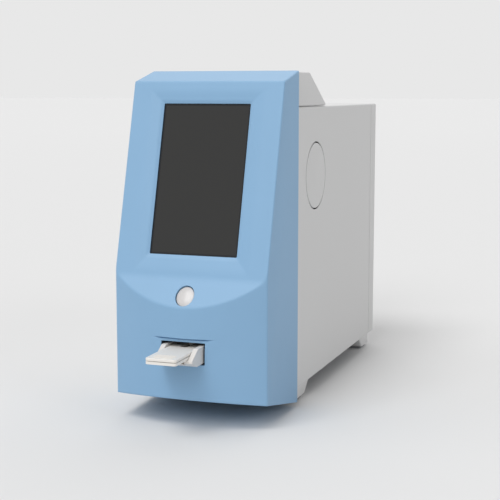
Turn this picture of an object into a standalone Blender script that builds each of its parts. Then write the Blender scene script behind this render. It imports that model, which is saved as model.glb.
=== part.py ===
"""Narrow bench-top fluorescence immunoassay analyzer.

A blue moulded bezel with a portrait touch screen, a domed power button and a test-cassette slot
closes the front of a painted steel body. A rack and pinion draws the cassette tray in under the
optical head. A round cover on the right side carries the paper roll of the printer in the hood.

Frame: +X is the right side seen from the front, -Y is the front, +Z is up, in metres. The object
stands on Z = 0. Every piece hangs from the empty "datum", whose Y = 0 is the plane where the
bezel's rear edge meets the body, so all depths below are counted from that plane.
"""
import math

import bmesh
import bpy
from mathutils import Vector

MM = 0.001
X, Y, Z = range(3)

# Fits shared by all pieces
SEAT = 0.3 * MM
OVERRUN = 3.0 * MM
BITE = 0.6 * MM
SMOOTH_ANGLE = math.radians(32)

# Bezel: outer form
BEZEL_WIDTH = 115.0 * MM
BEZEL_REAR_FOOT = 3.5 * MM
UNDERSIDE_SLOPE = math.radians(12.0)
KNEE_DEPTH = 69.67 * MM
KNEE_HEIGHT = 104.57 * MM
KNEE_BEHIND_FACE = 13.73 * MM
BULGE = 15.0 * MM
ARCH_HEIGHT = 86.2 * MM
BROW_DEPTH = 32.2 * MM
BROW_HEIGHT = 241.2 * MM
TOP_RISE = 7.7 * MM
BEZEL_WALL = 2.5 * MM
SCREEN_WALL = 4.1 * MM
BEZEL_EDGE = 1.1 * MM
KNEE_RADIUS = 12.0 * MM
KNEE_STEPS = 4
BULGE_STEPS = 28
SHELL_BOSS_RADIUS = 4.0 * MM
SHELL_BOSS_HOLE = 1.3 * MM
SHELL_BOSS_LENGTH = 22.0 * MM
SHELL_BOSS_BOTTOM = 34.0 * MM
SHELL_BOSS_MIDDLE = 126.0 * MM
SHELL_BOSS_BELOW_TOP = 32.9 * MM

# Screen: opening, dished surround and the display stack behind it
OPENING_SIDE = 24.4 * MM
OPENING_ABOVE_KNEE = 16.6 * MM
OPENING_BELOW_BROW = 15.7 * MM
OPENING_RADIUS = 0.8 * MM
DISH_SIDE = 9.0 * MM
DISH_TOP = 8.3 * MM
DISH_BOTTOM = 10.8 * MM
DISH_DEPTH = 2.2 * MM
DISH_RADIUS = 3.0 * MM
DISH_RIM_WIDTH = 2.2 * MM
DISH_RIM_DEPTH = 1.0 * MM
DISH_RIM_RADIUS = 1.4 * MM
SCREEN_LIP = 0.7 * MM
GLASS_MARGIN = 3.0 * MM
GLASS_THICKNESS = 1.1 * MM
PANEL_BORDER_SIDE = 4.4 * MM
PANEL_BORDER_END = 4.65 * MM
PANEL_THICKNESS = 3.2 * MM
PAN_WALL = 0.8 * MM
PAN_FRAME_SIDE = 17.3 * MM
PAN_FRAME_END = 24.2 * MM
EAR_WIDTH = 8.0 * MM
EAR_LENGTH = 12.0 * MM
EAR_FROM_END = 15.2 * MM
EAR_BOSS_RADIUS = 2.6 * MM
DISPLAY_BOARD_SIDE = 8.3 * MM
DISPLAY_BOARD_END = 15.2 * MM
BOARD_THICKNESS = 1.6 * MM

# Power button on the chin facet
BUTTON_BELOW_KNEE = 13.5 * MM
BUTTON_RADIUS = 6.4 * MM
BUTTON_PROUD = 1.6 * MM
BUTTON_DOME = 1.1 * MM
BUTTON_TRAVEL = 1.2 * MM
BUTTON_LENGTH = 7.0 * MM
BUTTON_STEM_RADIUS = 1.8 * MM
BUTTON_STEM_LENGTH = 5.6 * MM
COLLAR_WALL = 0.6 * MM
COLLAR_FLANGE = 1.3 * MM
COLLAR_FLANGE_THICKNESS = 1.5 * MM
COLLAR_LENGTH = 6.0 * MM
SWITCH_WIDTH = 7.0 * MM
SWITCH_THICKNESS = 4.0 * MM
SWITCH_WELL = 1.9 * MM
BUTTON_BOARD_WIDTH = 30.0 * MM
BUTTON_BOARD_HEIGHT = 15.0 * MM
BUTTON_BOSS_RADIUS = 2.4 * MM
BUTTON_BOSS_REACH = 11.5 * MM

# Cassette: the disposable test card
CASSETTE_WIDTH = 22.5 * MM
CASSETTE_LENGTH = 70.0 * MM
CASSETTE_BASE = 1.9 * MM
CASSETTE_TOP = 2.0 * MM
CASSETTE_RADIUS = 2.0 * MM
CASSETTE_PROUD = 36.6 * MM
WINDOW_LENGTH = 15.0 * MM
WINDOW_WIDTH = 4.0 * MM
WINDOW_FROM_TIP = 47.5 * MM
WELL_RADIUS = 2.6 * MM
WELL_FROM_TIP = 61.5 * MM
STRIP_WIDTH = 4.0 * MM
STRIP_LENGTH = 58.0 * MM
STRIP_THICKNESS = 0.5 * MM
STRIP_BED = 1.1 * MM
GRIP_RIB_PITCH = 2.4 * MM
GRIP_RIB_COUNT = 4
GRIP_RIB_HEIGHT = 0.4 * MM
GRIP_RIB_LENGTH = 14.0 * MM
GRIP_FROM_TIP = 3.6 * MM

# Cassette tray and its slot
SLOT_BOTTOM = 47.2 * MM
SLOT_HEIGHT = 14.8 * MM
SLOT_SIDE_CLEAR = 1.0 * MM
SLOT_LIFT = 0.7 * MM
TRAY_SIDE_CLEAR = 0.3 * MM
TRAY_WALL = 3.45 * MM
TRAY_HEIGHT = 12.0 * MM
TRAY_FLOOR = 2.4 * MM
LEDGE_RISE = 3.4 * MM
LEDGE_WIDTH = 2.5 * MM
TRAY_NOSE = 17.6 * MM
NOSE_FACE = 1.8 * MM
CHIN_RUN = 8.5 * MM
CHIN_RISE = 3.8 * MM
RAMP_RUN = 10.8 * MM
LEFT_WALL_BACK = 6.0 * MM
TRAY_TAIL = 66.0 * MM
TAIL_POCKET_LENGTH = 50.0 * MM
TRAY_TRAVEL = 52.0 * MM
SCOOP_DEPTH = 2.15 * MM
SCOOP_ABOVE_SLOT = 2.7 * MM
SCOOP_FADE = 25.0 * MM
FLAG_LENGTH = 5.0 * MM
FLAG_WIDTH = 5.0 * MM
FLAG_THICKNESS = 1.2 * MM

# Rack, pinion and motor
GEAR_MODULE = 1.0 * MM
PINION_TEETH = 16
PRESSURE_ANGLE = math.radians(20)
BACKLASH = 0.24 * MM
TOOTH_TIP_SHARE = 0.92
TOOTH_ROOT_SHARE = 1.25
RACK_HEIGHT = 6.0 * MM
RACK_BACKING = 2.4 * MM
RACK_ABOVE_FLOOR = 1.2 * MM
RACK_TEETH = 23
PINION_DEPTH = 2.0 * MM
PINION_HUB_RADIUS = 4.5 * MM
PINION_HUB_HEIGHT = 5.0 * MM
SHAFT_RADIUS = 1.5 * MM
MOTOR_SIZE = 25.0 * MM
MOTOR_LENGTH = 19.0 * MM
MOTOR_CORNER = 4.0 * MM
MOTOR_BOSS_RADIUS = 7.0 * MM
MOTOR_BOSS_HEIGHT = 1.5 * MM

# Transport deck, linear guide and home sensor
DECK_TOP = 39.5 * MM
DECK_SHEET = 1.5 * MM
DECK_WIDTH = 84.0 * MM
DECK_FRONT = 58.0 * MM
DECK_REAR = 82.0 * MM
DECK_LEG_FRONT = 8.0 * MM
DECK_FOOT = 9.0 * MM
RAIL_WIDTH = 7.0 * MM
RAIL_HEIGHT = 5.0 * MM
RAIL_FRONT = 46.0 * MM
RAIL_REAR = 66.0 * MM
RAIL_GROOVE = 0.8 * MM
CARRIAGE_WIDTH = 17.0 * MM
CARRIAGE_LENGTH = 30.0 * MM
CARRIAGE_CLEAR = 1.4 * MM
CARRIAGE_FROM_TAIL = 14.0 * MM
SENSOR_WIDTH = 12.0 * MM
SENSOR_LENGTH = 8.0 * MM
SENSOR_LEG = 3.0 * MM
SENSOR_JAW = 3.4 * MM
SENSOR_REACH = 6.5 * MM

# Optical head
OPTICS_DEPTH = 20.0 * MM
BRIDGE_GAP_OVER_TRAY = 4.6 * MM
BRIDGE_SHEET = 1.5 * MM
BRIDGE_LENGTH = 24.0 * MM
BRIDGE_WIDTH = 52.0 * MM
BRIDGE_FOOT = 9.0 * MM
HEAD_WIDTH = 30.0 * MM
HEAD_LENGTH = 26.0 * MM
HEAD_HEIGHT = 30.0 * MM
HEAD_CHAMFER = 14.0 * MM
HEAD_EDGE = 0.8 * MM
LIGHT_HOLE_RADIUS = 4.5 * MM
BEAM_RADIUS = 3.0 * MM
LAMP_HOLE_RADIUS = 2.2 * MM
BARREL_RADIUS = 7.0 * MM
BARREL_LENGTH = 9.0 * MM
BARREL_STEP = 1.5 * MM
LED_CAN_RADIUS = 4.0 * MM
LED_CAN_HEIGHT = 4.0 * MM
LED_BOARD_WIDTH = 24.0 * MM
LED_BOARD_HEIGHT = 12.0 * MM
DETECTOR_BOARD_WIDTH = 34.0 * MM
DETECTOR_BOARD_LENGTH = 16.0 * MM
DETECTOR_SETBACK = 4.5 * MM
DETECTOR_CAN_WIDTH = 20.0 * MM
DETECTOR_CAN_LENGTH = 14.0 * MM
DETECTOR_CAN_HEIGHT = 5.0 * MM

# Body: chassis, cover, rear cap, hood
BEZEL_OVERHANG = 0.5 * MM
BODY_BOTTOM = 14.2 * MM
SHOULDER_DROP = 26.0 * MM
BODY_DEPTH = 232.9 * MM
REAR_CAP_DEPTH = 16.4 * MM
SEAM_GAP = 0.6 * MM
SHEET = 1.0 * MM
CORNER_RADIUS = 1.6 * MM
CHASSIS_SHEET = 1.2 * MM
CHASSIS_FLANGE = 16.0 * MM
FRONT_SILL = 3.0 * MM
FRAME_DEPTH = 1.2 * MM
FRAME_SHEET = 1.2 * MM
FRAME_LOWER_TOP = 106.0 * MM
FRAME_UPPER_BOTTOM = 122.0 * MM
FRAME_HEAD = 26.9 * MM
FRAME_RIM = 13.0 * MM
CAP_WALL = 1.5 * MM
CAP_TONGUE = 9.0 * MM
CAP_TONGUE_WALL = 1.2 * MM
HOOD_BELOW_BEZEL = 0.9 * MM
HOOD_CREST = 29.1 * MM
HOOD_LENGTH = 73.4 * MM
HOOD_WALL = 2.2 * MM
HOOD_SEAM = 0.8 * MM
HOOD_LIP_INSET = 1.2 * MM
HOOD_EDGE = 1.0 * MM
HOOD_TONGUE_WALL = 1.6 * MM
HOOD_TONGUE_DROP = 4.0 * MM
HATCH_FRONT = 6.0 * MM
HATCH_REAR = 66.0 * MM
HATCH_SIDE = 9.0 * MM

# Printer, paper roll and its round side cover
ROLL_DEPTH = 46.0 * MM
ROLL_BELOW_TOP = 52.7 * MM
COVER_RADIUS = 25.7 * MM
COVER_PLATE = 2.0 * MM
COVER_PLUG_WALL = 1.6 * MM
COVER_PLUG_DEPTH = 6.0 * MM
COVER_SOCKET_RADIUS = 8.5 * MM
COVER_TRAVEL = 70.0 * MM
NOTCH_WIDTH = 12.0 * MM
NOTCH_DEPTH = 1.2 * MM
NOTCH_RISE = 3.0 * MM
SPINDLE_RADIUS = 5.0 * MM
SPINDLE_SPARE = 7.0 * MM
ROLL_RADIUS = 22.5 * MM
ROLL_BORE = 5.3 * MM
ROLL_SIDE = 7.0 * MM
ROLL_FROM_COVER = 3.4 * MM
BAY_WALL = 1.5 * MM
BAY_PAST_MIDDLE = 6.0 * MM
BAY_SLOT_SPARE = 2.0 * MM
BAY_SLOT_LENGTH = 9.0 * MM
BAY_FLANGE = 10.0 * MM
PRINTER_WIDTH = 70.0 * MM
PRINTER_FRONT = 12.0 * MM
PRINTER_LENGTH = 46.0 * MM
PRINTER_BELOW_TOP = 17.9 * MM
PRINTER_HEIGHT = 20.0 * MM
PRINTER_CHEEK = 6.0 * MM
PRINTER_FLOOR = 1.6 * MM
PLATEN_CLEAR = 1.4 * MM
PLATEN_RADIUS = 5.0 * MM
PLATEN_LENGTH = 54.0 * MM
PLATEN_DEPTH = 46.0 * MM
PLATEN_RISE = 3.0 * MM
PLATEN_AXLE_RADIUS = 2.0 * MM
PLATEN_AXLE_LENGTH = 4.6 * MM
PLATEN_FIT = 0.08 * MM
EXIT_WIDTH = 58.0 * MM
EXIT_SLOT = 3.2 * MM
EXIT_SHARE = 0.46
SHELF_SHEET = 1.2 * MM

# Electronics in the rear half
CARRIER_DEPTH = 92.0 * MM
CARRIER_LENGTH = 112.0 * MM
CARRIER_HEADROOM = 40.7 * MM
CARRIER_SHEET = 1.2 * MM
CARRIER_INSET = 5.0 * MM
CARRIER_FOOT = 14.0 * MM
STANDOFF_RADIUS = 2.6 * MM
STANDOFF_LENGTH = 5.0 * MM
MAIN_BOARD_LENGTH = 104.0 * MM
MAIN_BOARD_LIFT = 28.0 * MM
MAIN_BOARD_BELOW_TOP = 8.0 * MM
SUPPLY_ASIDE = 48.0 * MM
SUPPLY_LENGTH = 96.0 * MM
SUPPLY_HEIGHT = 36.0 * MM
SUPPLY_FROM_SIDE = 12.0 * MM
SUPPLY_SLOT_DEPTH = 1.2 * MM
SUPPLY_SLOT_COUNT = 7
IO_BOARD_WIDTH = 38.0 * MM
IO_BOARD_HEIGHT = 92.0 * MM
IO_BOARD_BOTTOM = 34.0 * MM
IO_FROM_SIDE = 27.0 * MM
IO_POST_RADIUS = 3.0 * MM
PORT_PROUD = 0.6 * MM
PORT_BOARD_SETBACK = 18.6 * MM
PORT_FIT = 0.3 * MM
RIBBON_WIDTH = 20.0 * MM
RIBBON_THICKNESS = 0.8 * MM
RIBBON_STEPS = 14
CAPACITOR_SHARE = 0.36

# Rear panel: mains inlet, rocker switch, ports, vents
INLET_FROM_SIDE = 29.0 * MM
INLET_HEIGHT = 52.0 * MM
INLET_WIDTH = 27.4 * MM
INLET_TALL = 19.8 * MM
INLET_CHAMFER = 4.6 * MM
INLET_WELL_WIDTH = 24.2 * MM
INLET_WELL_TALL = 16.4 * MM
INLET_WELL_CHAMFER = 4.0 * MM
INLET_DEPTH = 19.0 * MM
INLET_WELL_DEPTH = 16.0 * MM
INLET_FLANGE = 2.6 * MM
INLET_FLANGE_THICKNESS = 2.0 * MM
PIN_WIDTH = 2.0 * MM
PIN_TALL = 4.0 * MM
PIN_LENGTH = 14.0 * MM
PIN_SPREAD = 7.0 * MM
PIN_OFFSET = 2.0 * MM
ROCKER_HEIGHT = 84.0 * MM
ROCKER_WIDTH = 13.0 * MM
ROCKER_TALL = 19.2 * MM
ROCKER_WALL = 1.2 * MM
ROCKER_FLANGE = 1.6 * MM
ROCKER_FLANGE_THICKNESS = 1.6 * MM
ROCKER_BODY_DEPTH = 13.0 * MM
ROCKER_SWING = math.radians(14)
ROCKER_DISH = 1.2 * MM
ROCKER_CLEAR = 0.95 * MM
ROCKER_THICKNESS = 4.6 * MM
VENT_SIDE = 21.0 * MM
VENT_TALL = 2.8 * MM
VENT_PITCH = 7.0 * MM
VENT_BOTTOM = 150.0 * MM
VENT_BELOW_TOP = 14.0 * MM

# Feet
FOOT_WIDTH = 18.0 * MM
FOOT_LENGTH = 22.0 * MM
FOOT_FLARE = 10.0 * MM
FOOT_INSET_SIDE = 4.0 * MM
FOOT_INSET_FRONT = 11.0 * MM
FOOT_INSET_REAR = 2.0 * MM
FOOT_EDGE = 1.0 * MM
FOOT_RECESS = 1.0 * MM
PAD_THICKNESS = 3.0 * MM
PAD_MARGIN = 2.0 * MM

# Derived: heights that follow the brow, and widths that follow the bezel
BEZEL_TOP = BROW_HEIGHT + TOP_RISE
HOOD_TOP = BEZEL_TOP - HOOD_BELOW_BEZEL
BODY_TOP = BEZEL_TOP - SHOULDER_DROP
SHELL_BOSS_HEIGHTS = (SHELL_BOSS_BOTTOM, SHELL_BOSS_MIDDLE, BEZEL_TOP - SHELL_BOSS_BELOW_TOP)
FRAME_UPPER_TOP = BODY_TOP - FRAME_HEAD
ROLL_HEIGHT = BODY_TOP - ROLL_BELOW_TOP
PRINTER_BOTTOM = BODY_TOP - PRINTER_BELOW_TOP
CARRIER_HEIGHT = BODY_TOP - BODY_BOTTOM - CARRIER_HEADROOM
MAIN_BOARD_HEIGHT = CARRIER_HEIGHT - MAIN_BOARD_LIFT - MAIN_BOARD_BELOW_TOP
VENT_COUNT = int((BODY_TOP - VENT_BELOW_TOP - VENT_BOTTOM) / VENT_PITCH)
BODY_WIDTH = BEZEL_WIDTH - 2 * BEZEL_OVERHANG
HATCH_WIDTH = BODY_WIDTH - 2 * HATCH_SIDE
VENT_WIDTH = BODY_WIDTH - 2 * VENT_SIDE
ROLL_WIDTH = BODY_WIDTH / 2 - ROLL_SIDE
SPINDLE_LENGTH = ROLL_WIDTH + SPINDLE_SPARE
BAY_LENGTH = BODY_WIDTH / 2 + BAY_PAST_MIDDLE
BAY_SLOT_WIDTH = ROLL_WIDTH + 2 * BAY_SLOT_SPARE
SUPPLY_WIDTH = BODY_WIDTH - SUPPLY_ASIDE
SUPPLY_CENTRE = BODY_WIDTH / 2 - SUPPLY_FROM_SIDE - SUPPLY_WIDTH / 2
IO_CENTRE = BODY_WIDTH / 2 - IO_FROM_SIDE
INLET_CENTRE = INLET_FROM_SIDE - BODY_WIDTH / 2

# Derived: the screen's opening follows its face, and the display stack follows the opening
SCREEN_FACE_LENGTH = math.hypot(KNEE_DEPTH - BROW_DEPTH, BROW_HEIGHT - KNEE_HEIGHT)
OPENING_WIDTH = BEZEL_WIDTH - 2 * OPENING_SIDE
OPENING_HEIGHT = SCREEN_FACE_LENGTH - OPENING_ABOVE_KNEE - OPENING_BELOW_BROW
PANEL_WIDTH = OPENING_WIDTH + 2 * PANEL_BORDER_SIDE
PANEL_HEIGHT = OPENING_HEIGHT + 2 * PANEL_BORDER_END
PAN_WINDOW_WIDTH = PANEL_WIDTH - 2 * PAN_FRAME_SIDE
PAN_WINDOW_HEIGHT = PANEL_HEIGHT - 2 * PAN_FRAME_END
EAR_HEIGHT = PANEL_HEIGHT / 2 - EAR_FROM_END
DISPLAY_BOARD_WIDTH = PANEL_WIDTH - 2 * DISPLAY_BOARD_SIDE
DISPLAY_BOARD_HEIGHT = PANEL_HEIGHT - 2 * DISPLAY_BOARD_END

# Derived: bezel outline points, depth and height, behind and above the datum
FACE_Y = -(KNEE_DEPTH + KNEE_BEHIND_FACE)
SCREEN_TILT = math.atan2(KNEE_DEPTH - BROW_DEPTH, BROW_HEIGHT - KNEE_HEIGHT)
CHIN_TILT = math.atan2(KNEE_BEHIND_FACE, KNEE_HEIGHT - ARCH_HEIGHT)
TOP_TILT = math.atan2(BEZEL_TOP - BROW_HEIGHT, BROW_DEPTH)
HALF_BEZEL = BEZEL_WIDTH / 2
BULGE_RADIUS = (HALF_BEZEL ** 2 + BULGE ** 2) / (2 * BULGE)
HALF_BODY = BODY_WIDTH / 2

# Derived: cassette, tray and drive places at rest, with the tray out
CASSETTE_TIP_Y = FACE_Y - CASSETTE_PROUD
CASSETTE_END_Y = CASSETTE_TIP_Y + CASSETTE_LENGTH
CHANNEL_HALF = CASSETTE_WIDTH / 2 + TRAY_SIDE_CLEAR
TRAY_HALF = CHANNEL_HALF + TRAY_WALL
SLOT_HALF = TRAY_HALF + SLOT_SIDE_CLEAR
SLOT_TOP = SLOT_BOTTOM + SLOT_HEIGHT
TRAY_BOTTOM = SLOT_BOTTOM + SLOT_LIFT
TRAY_FLOOR_TOP = TRAY_BOTTOM + TRAY_FLOOR
LEDGE_Z = TRAY_FLOOR_TOP + LEDGE_RISE
TRAY_TOP = TRAY_BOTTOM + TRAY_HEIGHT
TRAY_FRONT_Y = FACE_Y - TRAY_NOSE
TRAY_END_Y = CASSETTE_END_Y + TRAY_TAIL
CASSETTE_Z = LEDGE_Z + SEAT
PITCH = math.pi * GEAR_MODULE
PINION_RADIUS = PINION_TEETH * GEAR_MODULE / 2
RACK_X = TRAY_HALF + SEAT
RACK_ROOT_X = RACK_X + RACK_BACKING
PITCH_LINE_X = RACK_ROOT_X + TOOTH_ROOT_SHARE * GEAR_MODULE
PINION_X = PITCH_LINE_X + PINION_RADIUS
RACK_Z = TRAY_BOTTOM + RACK_ABOVE_FLOOR
RACK_END_Y = TRAY_END_Y
RACK_FRONT_Y = RACK_END_Y - RACK_TEETH * PITCH
CARRIER_X = -(HALF_BODY - SHEET - CARRIER_INSET)
SIDE_SKIN = HALF_BODY - SHEET

# Derived: reach of the whole object, which puts the origin under the middle of its box
ROCKER_PIVOT_Y = BODY_DEPTH + ROCKER_FLANGE_THICKNESS - ROCKER_THICKNESS / 2


def rocker_outline():
    """Side outline of the rocker about its pivot, as (depth, height): a shallow V facing the rear."""
    half = ROCKER_TALL / 2 - ROCKER_WALL - ROCKER_CLEAR
    proud = ROCKER_THICKNESS / 2
    return [
        (-proud, -half),
        (proud + ROCKER_DISH, -half),
        (proud, 0.0),
        (proud + ROCKER_DISH, half),
        (-proud, half),
        (-proud - ROCKER_DISH, 0.0),
    ]


def turned_reach(outline, angle):
    """Largest depth that the outline reaches when it is turned about X by the angle."""
    return max(depth * math.cos(angle) - height * math.sin(angle) for depth, height in outline)


FRONT_REACH = -CASSETTE_TIP_Y
REAR_REACH = ROCKER_PIVOT_Y + turned_reach(rocker_outline(), ROCKER_SWING)
DATUM_Y = (FRONT_REACH - REAR_REACH) / 2


# Scene and material helpers
def clear_scene():
    for item in list(bpy.data.objects):
        bpy.data.objects.remove(item, do_unlink=True)


def linear(channel):
    """One sRGB channel, 0 to 1, as linear light."""
    if channel <= 0.04045:
        return channel / 12.92
    return ((channel + 0.055) / 1.055) ** 2.4


def finish(name, colour, roughness, metallic=0.0):
    """A Principled material from an sRGB hex colour."""
    material = bpy.data.materials.new(name)
    material.use_nodes = True
    shader = material.node_tree.nodes["Principled BSDF"]
    channels = [int(colour[i:i + 2], 16) / 255 for i in (1, 3, 5)]
    shader.inputs["Base Color"].default_value = [linear(c) for c in channels] + [1.0]
    shader.inputs["Roughness"].default_value = roughness
    shader.inputs["Metallic"].default_value = metallic
    return material


def empty(name, parent=None, location=(0, 0, 0), tilt=0.0):
    item = bpy.data.objects.new(name, None)
    bpy.context.scene.collection.objects.link(item)
    item.parent = parent
    item.location = location
    item.rotation_euler = (tilt, 0, 0)
    return item


def to_object(name, bm, parent, location):
    bmesh.ops.recalc_face_normals(bm, faces=bm.faces)
    mesh = bpy.data.meshes.new(name)
    bm.to_mesh(mesh)
    bm.free()
    item = bpy.data.objects.new(name, mesh)
    bpy.context.scene.collection.objects.link(item)
    item.parent = parent
    item.location = location
    return item


def solid(name, bm, look, parent, location=(0, 0, 0)):
    """A finished piece: its name is the node's name, and the look is (colour, roughness, metallic)."""
    item = to_object(name, bm, parent, location)
    item.data.materials.append(finish(name, *look))
    item.data.shade_smooth()
    item.data.set_sharp_from_angle(angle=SMOOTH_ANGLE)
    return item


def guide(name, bm, parent, location=(0, 0, 0)):
    """A cutter or an added lump, which only shapes another object."""
    item = to_object(name, bm, parent, location)
    item.hide_render = True
    item.display_type = "WIRE"
    return item


def combine(target, tool, operation):
    step = target.modifiers.new(tool.name, "BOOLEAN")
    step.operation = operation
    step.solver = "EXACT"
    step.object = tool


def cut(target, bm, parent, location=(0, 0, 0)):
    tool = guide(f"{target.name}.cut{len(target.modifiers)}", bm, parent, location)
    combine(target, tool, "DIFFERENCE")
    return tool


def fuse(target, bm, parent, location=(0, 0, 0)):
    tool = guide(f"{target.name}.add{len(target.modifiers)}", bm, parent, location)
    combine(target, tool, "UNION")
    return tool


def soften(target, width, steps=1, angle=math.radians(35)):
    """Breaks the piece's sharp edges."""
    step = target.modifiers.new("edges", "BEVEL")
    step.width = width
    step.segments = steps
    step.limit_method = "ANGLE"
    step.angle_limit = angle


# Shape helpers. Each adds one closed body to the mesh it is given.
def new_mesh():
    return bmesh.new()


def prism(bm, outline, axis, start, end):
    """Extrudes a flat outline along an axis. The outline's two numbers are the other two axes in order."""
    def place(point, along):
        values = list(point)
        values.insert(axis, along)
        return bm.verts.new(values)

    near = [place(p, start) for p in outline]
    far = [place(p, end) for p in outline]
    bm.faces.new(near)
    bm.faces.new(list(reversed(far)))
    count = len(outline)
    for i in range(count):
        j = (i + 1) % count
        bm.faces.new((near[i], far[i], far[j], near[j]))


def block(bm, low, high):
    base = [(low[0], low[1]), (high[0], low[1]), (high[0], high[1]), (low[0], high[1])]
    prism(bm, base, Z, low[2], high[2])


def slab(bm, centre, size):
    """A block by its centre and its full sizes."""
    block(bm, [c - s / 2 for c, s in zip(centre, size)], [c + s / 2 for c, s in zip(centre, size)])


def turned(bm, profile, axis, centre=(0, 0, 0), segments=32):
    """Turns a profile of (radius, height) about an axis through the centre. A closed loop with no
    point on the axis gives a ring, an open profile that starts and ends on the axis a solid."""
    others = [i for i in (X, Y, Z) if i != axis]

    def ring(radius, height):
        if radius == 0:
            point = list(centre)
            point[axis] += height
            return [bm.verts.new(point)]
        out = []
        for k in range(segments):
            turn = 2 * math.pi * k / segments
            point = list(centre)
            point[axis] += height
            point[others[0]] += radius * math.cos(turn)
            point[others[1]] += radius * math.sin(turn)
            out.append(bm.verts.new(point))
        return out

    rings = [ring(r, h) for r, h in profile]
    if profile[0][0] > 0:
        rings.append(rings[0])
    for a, b in zip(rings, rings[1:]):
        for k in range(segments):
            n = (k + 1) % segments
            if len(a) == 1:
                bm.faces.new((a[0], b[k], b[n]))
            elif len(b) == 1:
                bm.faces.new((a[k], b[0], a[n]))
            else:
                bm.faces.new((a[k], b[k], b[n], a[n]))


def rod(bm, centre, radius, length, axis, segments=24):
    turned(bm, [(0, 0), (radius, 0), (radius, length), (0, length)], axis, centre, segments)


def pipe(bm, centre, outer, inner, length, axis, segments=32):
    turned(bm, [(outer, 0), (outer, length), (inner, length), (inner, 0)], axis, centre, segments)


def arc(centre, radius, start, end, steps):
    """Points on an arc, both ends included."""
    turns = [start + (end - start) * k / steps for k in range(steps + 1)]
    return [(centre[0] + radius * math.cos(t), centre[1] + radius * math.sin(t)) for t in turns]


def rounded(width, height, radius, steps=3, centre=(0, 0)):
    """Outline of a rectangle with round corners."""
    points = []
    corners = ((1, 1), (-1, 1), (-1, -1), (1, -1))
    for quarter, (sx, sy) in enumerate(corners):
        middle = (centre[0] + sx * (width / 2 - radius), centre[1] + sy * (height / 2 - radius))
        begin = quarter * math.pi / 2
        points += arc(middle, radius, begin, begin + math.pi / 2, steps)
    return points


def mirrored(outline):
    """The right half of an outline, top to bottom, completed by its mirror image on the left."""
    return outline + [(-x, y) for x, y in reversed(outline)]


def loft(bm, lower, upper, axis, start, end):
    """Joins two outlines with as many points each, one at each end of a stretch along an axis."""
    def place(point, along):
        values = list(point)
        values.insert(axis, along)
        return bm.verts.new(values)

    near = [place(p, start) for p in lower]
    far = [place(p, end) for p in upper]
    bm.faces.new(near)
    bm.faces.new(list(reversed(far)))
    count = len(near)
    for i in range(count):
        j = (i + 1) % count
        bm.faces.new((near[i], far[i], far[j], near[j]))


def shifted(points, distances):
    """Moves each stretch of an open outline to its right by its own distance."""
    lines = []
    for (a, b), distance in zip(zip(points, points[1:]), distances):
        a, b = Vector(a), Vector(b)
        along = (b - a).normalized()
        side = Vector((along.y, -along.x)) * distance
        lines.append((a + side, along))
    out = [lines[0][0]]
    for (p, u), (q, v) in zip(lines, lines[1:]):
        k = ((q - p).x * v.y - (q - p).y * v.x) / (u.x * v.y - u.y * v.x)
        out.append(p + u * k)
    last = Vector(points[-1]) - Vector(points[-2])
    out.append(lines[-1][0] + last)
    return [tuple(p) for p in out]


# Looks: colour, roughness, metallic
BLUE = ("#8FB8E0", 0.42)
PAINT = ("#C9CACB", 0.55)
BLACK = ("#1B1C1F", 0.5)
GLASS = ("#2E2F31", 0.12)
WHITE = ("#E9E6E1", 0.4)
CARD = ("#ECE7DE", 0.45)
BUTTON = ("#E6E0DE", 0.3)
STEEL = ("#A9ADB1", 0.35, 1.0)
ZINC = ("#8F9499", 0.45, 1.0)
BRASS = ("#C7A25A", 0.3, 1.0)
BOARD = ("#1F6B45", 0.5)
RUBBER = ("#3A3B3D", 0.8)
ACETAL = ("#D8D9D4", 0.4)
DARK_METAL = ("#3B3E42", 0.5, 0.6)
PAPER = ("#F2F0EA", 0.85)
RIBBON = ("#B9BDC2", 0.6)


# Front bezel
def bezel_profile(wall=None):
    """Side outline of the bezel as (depth, height), from the rear foot forward and up to the rear top.
    It runs past the datum plane at both ends and is trimmed there."""
    slope = math.tan(UNDERSIDE_SLOPE)
    rise = math.tan(TOP_TILT)
    points = [
        (OVERRUN, BEZEL_REAR_FOOT - slope * OVERRUN),
        (FACE_Y, BEZEL_REAR_FOOT - slope * FACE_Y),
        (FACE_Y, ARCH_HEIGHT),
        (-KNEE_DEPTH, KNEE_HEIGHT),
        (-BROW_DEPTH, BROW_HEIGHT),
        (OVERRUN, BEZEL_TOP + rise * OVERRUN),
    ]
    if wall is None:
        return points[:3] + knee_arc() + points[4:]
    walls = (wall, wall, wall, SCREEN_WALL, wall)
    return shifted(points, walls)


def knee_arc():
    """The hollow bend where the chin, which leans back more, runs into the screen face."""
    begin = -CHIN_TILT
    end = -SCREEN_TILT
    middle = (begin + end) / 2
    reach = KNEE_RADIUS / math.cos((end - begin) / 2)
    centre = (-KNEE_DEPTH - reach * math.cos(middle), KNEE_HEIGHT - reach * math.sin(middle))
    return arc(centre, KNEE_RADIUS, begin, end, KNEE_STEPS)


def bezel_plan(wall=0.0):
    """Plan outline of the bezel as (side, depth): straight flanks and a bowed front."""
    radius = BULGE_RADIUS - wall
    half = HALF_BEZEL - wall
    centre = (0.0, FACE_Y + BULGE_RADIUS)
    swing = math.asin(half / radius)
    front = arc(centre, radius, -math.pi / 2 - swing, -math.pi / 2 + swing, BULGE_STEPS)
    return front + [(half, OVERRUN), (-half, OVERRUN)]


def full_height(bm, outline):
    prism(bm, outline, Z, -OVERRUN, BEZEL_TOP + OVERRUN * 2)


def face_radius_point(side):
    """Depth of the bowed face at a distance from the middle."""
    return FACE_Y + BULGE_RADIUS - math.sqrt(BULGE_RADIUS ** 2 - side ** 2)


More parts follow.
